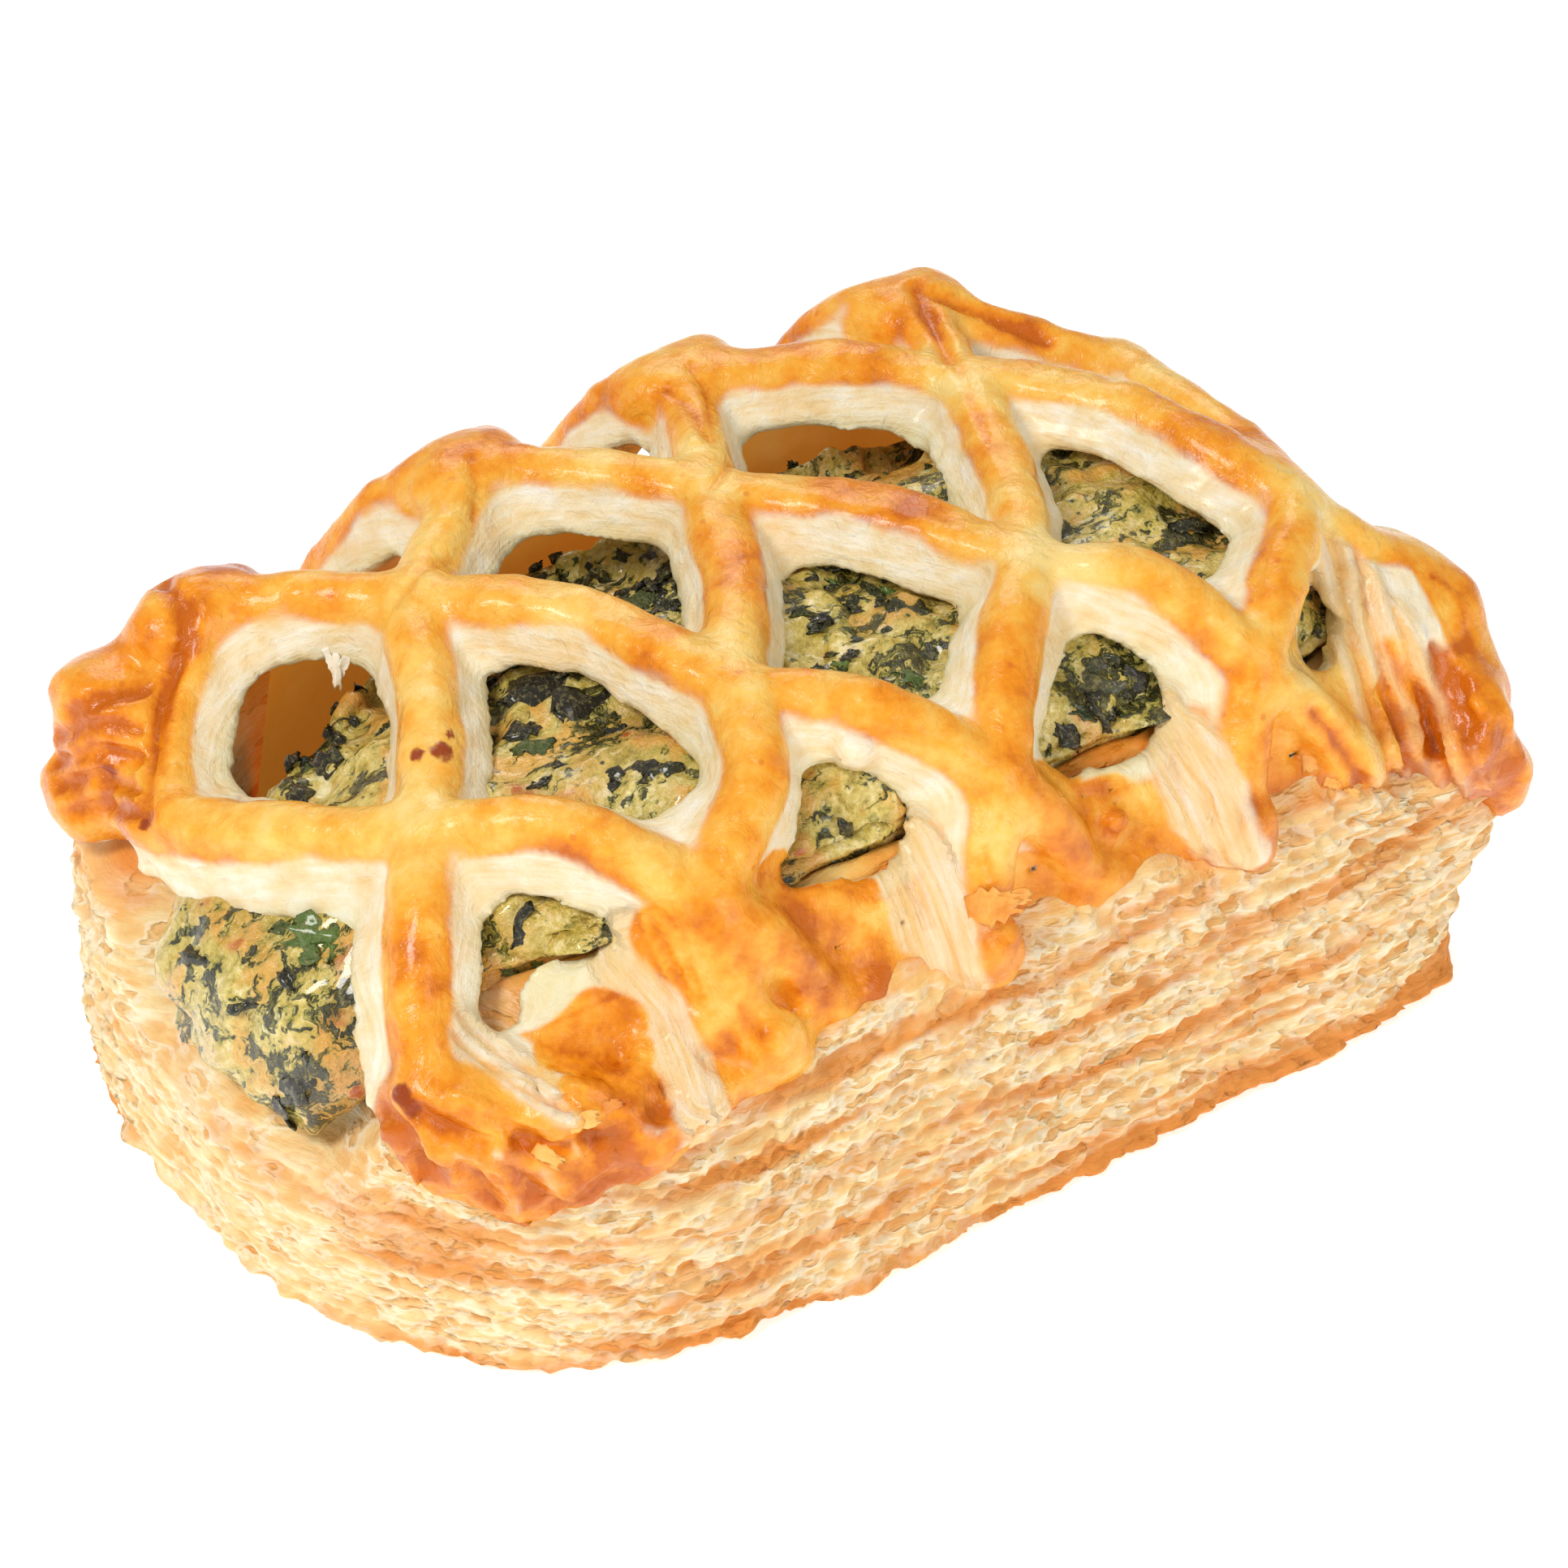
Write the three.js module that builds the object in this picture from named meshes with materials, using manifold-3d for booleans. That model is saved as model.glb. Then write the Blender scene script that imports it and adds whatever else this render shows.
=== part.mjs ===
// Spinach and feta lattice pastry: a laminated puff pastry case, its filling, and a slit
// lattice sheet that has risen into a dome over them.  Millimetres, +Z up, X along the length,
// Y across, origin in the middle of the flat underside.

import * as THREE from "three";
import { mergeVertices } from "three/addons/utils/BufferGeometryUtils.js";
import Module from "manifold-3d";

const wasm = await Module();
wasm.setup();

// Driving dimensions
const caseLeft = 52.2;
const caseRight = 50.5;
const caseHalfDepth = 33.8;
const caseCentreY = 1.6;
const caseCornerLeft = 4.0;
const caseCornerRight = 9.0;
const caseSlant = 9.5;
const rimHeight = 23.2;
const leftDip = 7.4;
const rightDip = 0.6;
const collarHeight = 34.0;
const collarWidth = 9.0;
const wallThickness = 10.2;
const floorThickness = 4.5;
const layerCount = 5;
const layerDepth = 0.45;

const domeRim = 25.0;
const domeTop = 46.4;
const domeCentreY = 2.0;
const domeHalfDepth = 33.0;
const domeDepthPower = 5.0;
const domeLeft = 54.0;
const domeLeftPower = 2.3;
const domeRight = 53.0;
const domeRightPower = 5.0;

const stripTopWidth = 4.6;
const stripBaseWidth = 11.0;
const stripThickness = 4.9;
const stripCrown = 0.8;
const edgeThickness = 3.8;
const gatherSpread = 6.0;
const marginWidth = 3.0;
const marginThickness = 3.2;
const clearance = 0.3;

const fillingDrop = 4.4;
const fillingSag = 3.8;
const fillingLump = 0.9;

// Where the strips cross, row by row from front to back: [x, y, lift above the dome].  The rows
// are half a cell out of step with each other.  Feet and toes are the ends on the front edge.
const feet = [[-22.3, -31.2], [-2.6, -31.4], [22.0, -31.4]];
const toes = [[-28.8, -30.9], [-7.8, -31.2], [16.2, -31.2], [40.0, -31.0]];
const frontRow = [[-46.8, -23.8, 0], [-23.0, -26.5, 0], [2.5, -27.4, 0], [27.5, -27.3, 0], [49.0, -21.5, 0]];
const middleRow = [[-37.5, -8.6, 0], [-12.0, -12.5, 0], [15.5, -12.4, 0], [40.3, -15.0, 0]];
const backMiddleRow = [[-49.3, 11.0, 0], [-25.4, 12.0, 0], [0.4, 9.0, 0], [26.3, 10.8, 0], [43.0, 9.5, -1.0]];
const backRow = [[-37.6, 23.6, 2.4], [-13.2, 22.6, 0.6], [8.1, 23.6, 0.5], [29.9, 21.8, 0.4]];
const backEdge = [[-46.3, 27.4], [-25.5, 34.2], [-3.0, 34.8], [19.0, 34.8], [38.5, 33.6]];
const edgeHeight = 26.4;
const backEdgeHeight = 27.6;
const marginHeight = 25.2;
const frontLeftCornerHeight = 28.5;
const frontRightCornerHeight = 34.0;

function clamp(value, low, high) {
  return Math.min(high, Math.max(low, value));
}

function smooth(low, high, value) {
  const t = clamp((value - low) / (high - low), 0, 1);
  return t * t * (3 - 2 * t);
}

// The domed surface that the tops of the strips follow
function domeReach(x, y) {
  const left = (Math.max(0, -x) / domeLeft) ** domeLeftPower;
  const right = (Math.max(0, x) / domeRight) ** domeRightPower;
  const across = (Math.abs(y - domeCentreY) / domeHalfDepth) ** domeDepthPower;
  return left + right + across;
}

function domeHeight(x, y) {
  return domeRim + (domeTop - domeRim) * Math.sqrt(Math.max(0, 1 - domeReach(x, y)));
}

function domeNormal(point) {
  const rise = domeTop - domeRim;
  const gradient = new THREE.Vector3();
  if (point.x < 0) {
    gradient.x = -domeLeftPower * (-point.x / domeLeft) ** (domeLeftPower - 1) / domeLeft;
  } else {
    gradient.x = domeRightPower * (point.x / domeRight) ** (domeRightPower - 1) / domeRight;
  }
  const side = (point.y - domeCentreY) / domeHalfDepth;
  gradient.y = Math.sign(side) * domeDepthPower * Math.abs(side) ** (domeDepthPower - 1) / domeHalfDepth;
  gradient.z = Math.max(0.012, 2 * (point.z - domeRim) / rise ** 2);
  return gradient.normalize();
}

// A closed body from rings of points with the same count, with the ends closed by fans
function ringBody(rings) {
  const count = rings[0].length;
  const positions = [];
  const indices = [];
  for (const ring of rings) {
    for (const point of ring) {
      positions.push(point.x, point.y, point.z);
    }
  }
  for (let r = 0; r + 1 < rings.length; r += 1) {
    for (let i = 0; i < count; i += 1) {
      const next = (i + 1) % count;
      const a = r * count + i;
      const b = r * count + next;
      const c = a + count;
      const d = b + count;
      indices.push(a, b, d, a, d, c);
    }
  }
  for (const [ring, start, flip] of [[rings[0], 0, true], [rings.at(-1), (rings.length - 1) * count, false]]) {
    const middle = new THREE.Vector3();
    for (const point of ring) {
      middle.addScaledVector(point, 1 / count);
    }
    const hub = positions.length / 3;
    positions.push(middle.x, middle.y, middle.z);
    for (let i = 0; i < count; i += 1) {
      const next = (i + 1) % count;
      if (flip) {
        indices.push(hub, start + next, start + i);
      } else {
        indices.push(hub, start + i, start + next);
      }
    }
  }
  const geometry = new THREE.BufferGeometry();
  geometry.setAttribute("position", new THREE.Float32BufferAttribute(positions, 3));
  geometry.setIndex(indices);
  return geometry;
}

function toSolid(geometry) {
  const bare = geometry.clone();
  bare.deleteAttribute("normal");
  bare.deleteAttribute("uv");
  const merged = mergeVertices(bare, 1e-4);
  return new wasm.Manifold(new wasm.Mesh({
    numProp: 3,
    vertProperties: new Float32Array(merged.attributes.position.array),
    triVerts: new Uint32Array(merged.index.array),
  }));
}

function toGeometry(solid) {
  const mesh = solid.getMesh();
  const geometry = new THREE.BufferGeometry();
  geometry.setAttribute("position", new THREE.Float32BufferAttribute(mesh.vertProperties, 3));
  geometry.setIndex(Array.from(mesh.triVerts));
  geometry.computeVertexNormals();
  return geometry;
}

function joinAll(solids) {
  let whole = solids[0];
  for (const solid of solids.slice(1)) {
    whole = whole.add(solid);
  }
  return whole;
}

// The main body of a solid, without the scraps that a cut leaves beside it
function mainBody(solid) {
  const bodies = solid.decompose();
  bodies.sort((a, b) => b.volume() - a.volume());
  return bodies[0];
}

// The crossings as points on the dome.  The ends on the edges hang at the rim.
function crossing([x, y, lift], height) {
  return new THREE.Vector3(x, y, height ?? domeHeight(x, y) + lift);
}

function latticeRoutes() {
  const foot = feet.map((p) => crossing(p, edgeHeight));
  const toe = toes.map((p) => crossing(p, edgeHeight));
  const first = frontRow.map((p) => crossing(p));
  first[0].z = frontLeftCornerHeight;
  first[4].z = frontRightCornerHeight;
  const middle = middleRow.map((p) => crossing(p));
  const second = backMiddleRow.map((p) => crossing(p));
  const third = backRow.map((p) => crossing(p));
  const back = backEdge.map((p) => crossing(p, backEdgeHeight));
  back[0].z = 36.0;
  const leftCorner = crossing([-48.6, 21.5], 30.5);
  const rightFrontCorner = crossing([49.0, -31.5], 23.5);
  const rightBackCorner = crossing([48.5, 27.5], 28.0);
  const margins = [
    [[-42.5, -27.0], [-36.0, -30.4], [-20.0, -31.3], [0.0, -31.6], [20.0, -31.7], [38.0, -31.6], [48.0, -30.6]],
    [[-46.0, 27.2], [-38.0, 31.8], [-20.0, 34.4], [0.0, 34.8], [20.0, 34.8], [38.0, 34.4], [47.0, 31.0]],
  ].map((line) => line.map((p) => crossing(p, marginHeight)));
  // Behind the back row the strips roll over the dome's shoulder before they come down
  const overBack = (from, to) => {
    const part = 0.42;
    return [from, crossing([from.x + part * (to.x - from.x), from.y + part * (to.y - from.y), 0.6]), to];
  };
  const rising = [
    [foot[0], first[1], middle[1], second[2], ...overBack(third[2], back[3])],
    [foot[1], first[2], middle[2], second[3], ...overBack(third[3], back[4])],
    [foot[2], first[3], middle[3], second[4], rightBackCorner],
    [first[0], middle[0], second[1], ...overBack(third[1], back[2])],
    [second[0], ...overBack(third[0], back[1])],
  ];
  const falling = [
    [toe[0], first[0]],
    [toe[1], first[1], middle[0], second[0], leftCorner],
    [toe[2], first[2], middle[1], second[1], third[0], back[0]],
    [toe[3], first[3], middle[2], second[2], ...overBack(third[1], back[1])],
    [rightFrontCorner, first[4], middle[3], second[3], ...overBack(third[2], back[2])],
    [second[4], ...overBack(third[3], back[3])],
  ];
  return { strips: [...rising, ...falling], margins };
}

// One strip or margin: a soft trapezoid section carried along its route, standing on the dome's
// normal.  Strips thin out where they come down to the rim.
function stripSolid(route, grow, isMargin) {
  const curve = new THREE.CatmullRomCurve3(route, false, "centripetal");
  const steps = Math.max(5, Math.round(curve.getLength() / 7.0));
  const rings = [];
  for (let i = 0; i <= steps; i += 1) {
    const along = i / steps;
    const centre = curve.getPointAt(along);
    const tangent = curve.getTangentAt(along);
    const normal = domeNormal(centre);
    normal.addScaledVector(tangent, -normal.dot(tangent)).normalize();
    const side = new THREE.Vector3().crossVectors(tangent, normal).normalize();
    const lowness = 1 - smooth(27, 38, centre.z);
    let depth = stripThickness + (edgeThickness - stripThickness) * lowness;
    const gathered = smooth(39, 46, centre.x) * smooth(12, 20, -centre.y);
    let base = stripBaseWidth - 3.2 * lowness + gatherSpread * gathered;
    let top = stripTopWidth + 0.35 * Math.sin(centre.x * 0.31 + centre.y * 0.47);
    if (isMargin) {
      depth = marginThickness;
      base = marginWidth;
      top = marginWidth * (0.75 + 0.2 * Math.sin(centre.x * 0.9));
    }
    const section = [
      [-base / 2 - grow, -depth - grow],
      [-top / 2 - 0.3 - grow, -0.5],
      [-top / 4, stripCrown + grow],
      [top / 4, stripCrown + grow],
      [top / 2 + 0.3 + grow, -0.5],
      [base / 2 + grow, -depth - grow],
    ];
    let reach = 0;
    if (i === 0) {
      reach = -grow;
    } else if (i === steps) {
      reach = grow;
    }
    rings.push(section.map(([across, up]) => centre.clone()
      .addScaledVector(tangent, reach)
      .addScaledVector(side, across)
      .addScaledVector(normal, up)));
  }
  return toSolid(ringBody(rings));
}

// A soft lump: an ellipsoid with its own axes, for folded corners and the ends of the strips
function lumpSolid(centre, size, turn, grow) {
  const ball = new THREE.SphereGeometry(1, 9, 5);
  ball.scale(size[0] + grow, size[1] + grow, size[2] + grow);
  ball.applyMatrix4(new THREE.Matrix4().makeRotationFromEuler(new THREE.Euler(turn[0], turn[1], turn[2])));
  ball.translate(centre[0], centre[1], centre[2]);
  return toSolid(ball);
}

// The outline of the case at a given growth beyond its walls.  The front left corner is pushed
// in, so that the left end slants.
function caseOutline(angle, grow) {
  const c = Math.cos(angle);
  const s = Math.sin(angle);
  const a = (c < 0 ? caseLeft : caseRight) + grow;
  const b = caseHalfDepth + grow;
  const corner = c < 0 ? caseCornerLeft : caseCornerRight;
  const radius = (Math.abs(c / a) ** corner + Math.abs(s / b) ** corner) ** (-1 / corner);
  const y = radius * s;
  let x = radius * c;
  if (x < 0) {
    const inner = Math.max(0, -y - 2) / 29;
    x += caseSlant * (x / caseLeft) ** 2 * inner ** 1.5;
  }
  return [x, y + caseCentreY];
}

// Angles spread evenly along the outline
function evenAngles(count) {
  const fine = 1440;
  const lengths = [0];
  let previous = caseOutline(0, 0);
  for (let i = 1; i <= fine; i += 1) {
    const here = caseOutline((2 * Math.PI * i) / fine, 0);
    lengths.push(lengths[i - 1] + Math.hypot(here[0] - previous[0], here[1] - previous[1]));
    previous = here;
  }
  const angles = [];
  let k = 0;
  for (let i = 0; i < count; i += 1) {
    const wanted = (lengths[fine] * i) / count;
    while (lengths[k + 1] < wanted) {
      k += 1;
    }
    const part = (wanted - lengths[k]) / (lengths[k + 1] - lengths[k]);
    angles.push((2 * Math.PI * (k + part)) / fine);
  }
  return angles;
}

// 1 at the middle of the two ends, where the wall dips under the open cells, 0 along the sides
function endness(angle) {
  const [x, y] = caseOutline(angle, 0);
  const near = smooth(38, 48, Math.abs(x));
  return near * (1 - smooth(9, 21, Math.abs(y + 1)));
}

function endDip(angle) {
  return (Math.cos(angle) < 0 ? leftDip : rightDip) * endness(angle);
}

function rimAt(angle) {
  return rimHeight - endDip(angle);
}

function collarAt(angle) {
  const corner = smooth(36, 48, Math.abs(caseOutline(angle, 0)[0]));
  const drop = Math.cos(angle) < 0 ? 3.4 : 1.6;
  return collarHeight - drop * corner - 1.9 * endDip(angle);
}

// How far the wall stands out at a height: a soft belly, a nipped foot, and the layers' ledges
function wallGrowth(angle, height) {
  const t = height / rimHeight;
  const belly = 0.7 * Math.sin(Math.PI * clamp(t, 0, 1)) + 0.2;
  const layer = ((height * layerCount) / rimHeight + 0.35 * Math.sin(angle * 3) + 0.2 * Math.sin(angle * 7)) % 1;
  const ledge = layerDepth * (layer < 0.5 ? 1 : -1);
  const foot = 0.25 * (1 - smooth(0, 3, height));
  const [x, y] = caseOutline(angle, 0);
  const corner = smooth(42, 50, Math.abs(x)) * smooth(18, 30, Math.abs(y - caseCentreY));
  const frontRight = x > 0 && y < 0;
  const flare = (frontRight ? 2.8 : 0.9) * corner * smooth(8, 18, height);
  return belly + ledge + foot + flare;
}

function caseSolid(angles, grow) {
  const ring = (growOf, heightOf) => angles.map((angle) => {
    const [x, y] = caseOutline(angle, growOf(angle));
    return new THREE.Vector3(x, y, heightOf(angle));
  });
  const rings = [];
  rings.push(ring(() => -14, () => 0));
  rings.push(ring(() => -1.6, () => 0));
  const wallRings = layerCount * 2 + 1;
  for (let i = 0; i < wallRings; i += 1) {
    const t = i / (wallRings - 1);
    const heightOf = (angle) => 0.7 + t * (rimAt(angle) - 0.7);
    rings.push(ring((angle) => wallGrowth(angle, heightOf(angle)), heightOf));
  }
  const collar = [[-1.6, 0.04], [-4.4, 0.1], [-6.0, 0.62], [-collarWidth + 1.0, 0.95], [-collarWidth, 1.0]];
  for (const [inward, part] of collar) {
    const heightOf = (angle) => rimAt(angle) + part * (collarAt(angle) - rimAt(angle)) + grow;
    rings.push(ring(() => inward - grow, heightOf));
  }
  rings.push(ring(() => -wallThickness - grow, (angle) => collarAt(angle) - 2.2));
  rings.push(ring(() => -wallThickness - 0.8 - grow, () => floorThickness + 5));
  rings.push(ring(() => -wallThickness - 3 - grow, () => floorThickness + grow));
  return toSolid(ringBody(rings));
}

// Soft lumps on the filling, from a few crossed waves
function lumpiness(x, y) {
  const a = Math.sin(x * 0.62 + 1.3) * Math.sin(y * 0.71 + 0.4);
  const b = Math.sin(x * 0.27 - y * 0.38 + 2.1);
  const c = Math.sin(x * 0.95 + y * 0.83);
  return 0.5 * a + 0.35 * b + 0.3 * c;
}

function fillingTop(x, y) {
  const sag = fillingSag * smooth(2, 14, y) + 1.5 * smooth(15, 24, -y);
  return domeHeight(x, y) - fillingDrop - sag + fillingLump * lumpiness(x, y);
}

function fillingSolid(angles) {
  const rings = [];
  const ring = (growOf, heightOf) => rings.push(angles.map((angle) => {
    const [x, y] = caseOutline(angle, growOf(angle));
    return new THREE.Vector3(x, y, heightOf(angle, x, y));
  }));
  const bottom = floorThickness + clearance;
  const sill = (angle) => collarAt(angle) + clearance + 0.4;
  const bulge = (angle) => (Math.cos(angle) < 0 ? 1 : 0.35) * endness(angle);
  ring(() => -wallThickness - 14, () => bottom);
  ring(() => -wallThickness - 3.6, () => bottom);
  ring(() => -wallThickness - 1.3, () => bottom + 5);
  ring(() => -wallThickness - 0.5, (angle) => collarAt(angle) - 2.4);
  ring(() => -collarWidth - 0.3, (angle) => sill(angle));
  ring((angle) => -collarWidth + 8.4 * bulge(angle), (angle) => sill(angle) + 0.5);
  ring((angle) => -collarWidth + 10.0 * bulge(angle), (angle) => sill(angle) + 2.0 + 4.5 * bulge(angle));
  ring((angle) => -collarWidth - 0.4 + 8.0 * bulge(angle), (angle) => sill(angle) + 2.6 + 10.0 * bulge(angle));
  for (const inward of [10.5, 14, 18.5, 24, 29.5]) {
    ring(
      (angle) => -inward + 3.0 * bulge(angle) * (1 - smooth(10, 24, inward)),
      (angle, x, y) => Math.max(sill(angle) + 1.4, fillingTop(x, y)),
    );
  }
  return toSolid(ringBody(rings));
}

function latticeSolid(grow) {
  const routes = latticeRoutes();
  const strips = routes.strips.map((route) => stripSolid(route, grow, false));
  const margins = routes.margins.map((route) => stripSolid(route, grow, true));
  const lumps = [];
  for (const [x, y] of feet) {
    lumps.push(lumpSolid([x - 0.4, y + 0.8, 27.0], [3.4, 2.4, 3.4], [0.2, 0, 0.1], grow));
  }
  for (const [x, y] of toes) {
    lumps.push(lumpSolid([x, y + 1.2, 26.4], [3.4, 2.2, 2.6], [0.2, 0, 0.1], grow));
  }
  for (const [x, y, lift] of backRow) {
    lumps.push(lumpSolid([x - 0.6, y + 0.6, domeHeight(x, y) + lift - 1.0], [5.2, 3.6, 2.9], [-0.3, 0, 0.2], grow));
  }
  for (const [x, y] of backEdge.slice(1)) {
    lumps.push(lumpSolid([x, y - 1.2, backEdgeHeight - 0.6], [3.4, 2.4, 3.2], [-0.2, 0, 0.1], grow));
  }
  const folds = [
    [[-41.6, -25.6, 23.2], [6.6, 3.0, 7.4], [0.35, 0.3, -0.62]],
    [[-36.0, -28.6, 23.4], [6.4, 2.7, 5.2], [0.3, 0.35, -0.36]],
    [[-45.4, -23.0, 26.2], [4.4, 3.2, 4.4], [0.2, 0.2, -0.8]],
    [[-47.8, 21.5, 33.4], [3.4, 4.8, 3.6], [0, 0.2, 0.3]],
    [[-49.0, 22.6, 28.6], [3.2, 4.6, 4.0], [0, 0.2, 0.2]],
    [[48.4, -28.5, 25.8], [3.0, 4.6, 6.0], [0.3, -0.2, 0.3]],
    [[50.4, -31.2, 20.4], [2.4, 2.8, 4.8], [0.3, -0.2, 0.3]],
    [[46.2, -31.0, 23.0], [2.8, 2.6, 4.8], [0.3, -0.2, 0.3]],
  ];
  for (const [centre, size, turn] of folds) {
    lumps.push(lumpSolid(centre, size, turn, grow));
  }
  return joinAll([...strips, ...margins, ...lumps]);
}

// Assembly
const angles = evenAngles(54);
const lattice = mainBody(latticeSolid(0));
const latticeRoom = latticeSolid(clearance).add(lattice);
const caseRoom = caseSolid(angles, clearance);
const pastryCase = mainBody(caseSolid(angles, 0).subtract(latticeRoom));
const filling = mainBody(fillingSolid(evenAngles(42)).subtract(latticeRoom).subtract(caseRoom));

function addMesh(group, name, solid, colour, roughness) {
  const material = new THREE.MeshStandardMaterial({ color: colour, roughness, metalness: 0 });
  const mesh = new THREE.Mesh(toGeometry(solid), material);
  mesh.name = name;
  group.add(mesh);
}

const pastry = new THREE.Group();
addMesh(pastry, "pastry_case", pastryCase, 0xe9c68a, 0.75);
addMesh(pastry, "filling", filling, 0xa9a35f, 0.6);
addMesh(pastry, "lattice_lid", lattice, 0xe8a352, 0.5);

// The origin goes to the middle of the underside
const extent = new THREE.Box3();
for (const mesh of pastry.children) {
  mesh.geometry.computeBoundingBox();
  extent.union(mesh.geometry.boundingBox);
}
const middle = extent.getCenter(new THREE.Vector3());
for (const mesh of pastry.children) {
  mesh.position.set(-middle.x, -middle.y, -extent.min.z);
}

export default pastry;
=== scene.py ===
# Looks of the spinach and feta lattice pastry.  Shapes are worked out in millimetres, in the
# same design coordinates as the solids, and are moved and scaled to metres when a mesh is made.

import itertools
import math

import bpy
import numpy as np
from mathutils.bvhtree import BVHTree
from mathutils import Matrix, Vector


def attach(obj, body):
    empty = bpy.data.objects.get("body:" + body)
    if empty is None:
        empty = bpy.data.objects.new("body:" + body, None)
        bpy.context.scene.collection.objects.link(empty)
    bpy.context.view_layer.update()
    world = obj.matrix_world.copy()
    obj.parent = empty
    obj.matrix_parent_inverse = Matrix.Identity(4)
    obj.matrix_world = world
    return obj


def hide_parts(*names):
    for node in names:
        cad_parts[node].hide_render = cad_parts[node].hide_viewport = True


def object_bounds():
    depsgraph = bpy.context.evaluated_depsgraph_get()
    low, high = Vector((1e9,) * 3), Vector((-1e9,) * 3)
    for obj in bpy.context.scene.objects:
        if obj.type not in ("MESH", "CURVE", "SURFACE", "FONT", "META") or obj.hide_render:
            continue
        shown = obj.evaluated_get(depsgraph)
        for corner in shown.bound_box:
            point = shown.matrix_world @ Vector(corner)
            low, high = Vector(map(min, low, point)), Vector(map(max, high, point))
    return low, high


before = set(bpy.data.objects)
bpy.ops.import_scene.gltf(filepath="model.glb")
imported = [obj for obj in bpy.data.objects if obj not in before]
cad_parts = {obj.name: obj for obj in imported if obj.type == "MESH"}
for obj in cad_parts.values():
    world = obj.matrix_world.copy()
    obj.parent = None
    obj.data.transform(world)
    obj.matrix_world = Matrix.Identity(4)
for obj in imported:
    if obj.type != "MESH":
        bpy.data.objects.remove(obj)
cad_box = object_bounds()

# From the design coordinates to the frame's origin, in millimetres
design_shift = np.array([0.163, -1.291, 0.0])

# Camera, found by matching the lattice crossings
azimuth = math.radians(-35.0)
elevation = math.radians(38.5)
camera_distance = 405.0
camera_target = np.array([1.5, 0.5, 21.0]) + design_shift
focal_pixels = 6200.0
frame_pixels = 1932.0
frame_middle = 0.5 * frame_pixels
sensor_width = 36.0
pixels_per_mm = 15.3
picture_right = np.array([math.cos(azimuth), math.sin(azimuth), 0.0])
towards_camera = np.array([math.sin(azimuth) * math.cos(elevation),
                           -math.cos(azimuth) * math.cos(elevation), math.sin(elevation)])
picture_up = np.cross(towards_camera, picture_right)
camera_eye = camera_target - design_shift + camera_distance * towards_camera

# Case
case_left = 52.2
case_right = 50.5
case_half_depth = 33.8
case_centre_y = 1.6
case_corner_left = 4.0
case_corner_right = 9.0
case_slant = 9.5
rim_height = 23.2
left_dip = 7.4
right_dip = 0.6
collar_height = 34.0
collar_width = 9.0
tongue_top = 34.8
tongue_thickness = 2.2
wall_thickness = 10.2
floor_thickness = 4.5
end_round_height = 5.5
end_round_depth = 4.2
front_round_depth = 2.2
ply_spacing = 4.3
flake_thickness = 0.22
strand_thickness = 0.12
leaf_thickness = 0.16

# Dome that the lattice follows
dome_rim = 25.0
dome_top = 46.4
dome_rise = dome_top - dome_rim
dome_centre_y = 2.0
dome_half_depth = 33.0
dome_depth_power = 5.0
dome_left = 54.0
dome_left_power = 2.3
dome_right = 53.0
dome_right_power = 5.0

# Strips
strip_top_width = 4.3
strip_base_width = 9.6
strip_thickness = 5.0
strip_crown = 0.9
strip_sampling = 2.2
strip_reach = 9.5
edge_thickness = 5.6
gather_spread = 6.0
left_end_spread = 2.6
foot_flank = 3.2
crossing_blend = 1.2
skin_blend = 0.8
rib_sampling = 1.5
glaze_depth = 0.6

# What a grid holds far from a shape, and the lid's grid and the planes that bound it
far_away = 9.0
far_from_skin = 4.0
lid_low = [-55.5, -37.0, 12.5]
lid_high = [55.5, 38.5, 50.5]
lid_left = 53.1
lid_right = 52.7
lid_back = 36.2
lid_top = 47.2

# Periods of the fine relief
ledge_period = 0.95
pleat_periods = (2.1, 1.3)
page_period = 1.5
flank_period = 1.2

# Filling
filling_drop = 4.6
filling_sag = 3.8
filling_foot = 13.0
filling_setback = 8.0

# Inside of the crust along the back
crust_foot = 16.0
crust_rise = 22.0
crust_inward = 10.6
crust_gap = 4.5

# Crossings of the strips, row by row from front to back: [x, y, lift above the dome]
feet = [[-22.3, -31.2], [-2.6, -31.4], [22.0, -31.4]]
toes = [[-33.6, -28.6], [-15.0, -29.2], [9.8, -29.6], [36.5, -30.2]]
front_row = [[-46.8, -23.8, 0], [-23.0, -26.5, 0], [2.5, -27.4, 0], [27.5, -27.3, 0], [49.0, -21.5, 0]]
middle_row = [[-37.5, -8.6, 0], [-12.0, -12.5, 0], [15.5, -12.4, 0], [40.3, -15.0, 0]]
back_middle_row = [[-49.3, 11.0, 0], [-25.4, 12.0, 0], [0.4, 9.0, 0], [26.3, 10.8, 0], [43.0, 9.5, -1.0]]
back_row = [[-37.6, 23.6, 2.4], [-13.2, 22.6, 0.6], [8.1, 23.6, 0.5], [29.9, 21.8, 0.4]]
back_edge = [[-46.3, 27.4], [-25.5, 34.2], [-3.0, 34.8], [19.0, 34.8], [38.5, 33.6]]
back_margin = [
    [-46.0, 27.2], [-38.0, 31.8], [-20.0, 34.4], [0.0, 34.8], [20.0, 34.8], [38.0, 34.4], [47.0, 31.0],
]
edge_height = 26.4
back_edge_height = 27.6
back_left_height = 36.0
margin_height = 25.2
margin_sink = 1.1
front_left_corner_height = 28.5
front_right_corner_height = 34.0
left_corner = np.array([-48.6, 21.5, 30.5])
right_front_corner = np.array([49.0, -31.5, 23.5])
right_back_corner = np.array([48.5, 27.5, 28.0])

# How finely the meshes are made
grid_step = 0.54
wall_spacing = ((0.38, 0.95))
wall_rows = 72
collar_rows = 22
filling_columns = 620
filling_step = 0.5
leaves_wanted = 640

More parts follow.
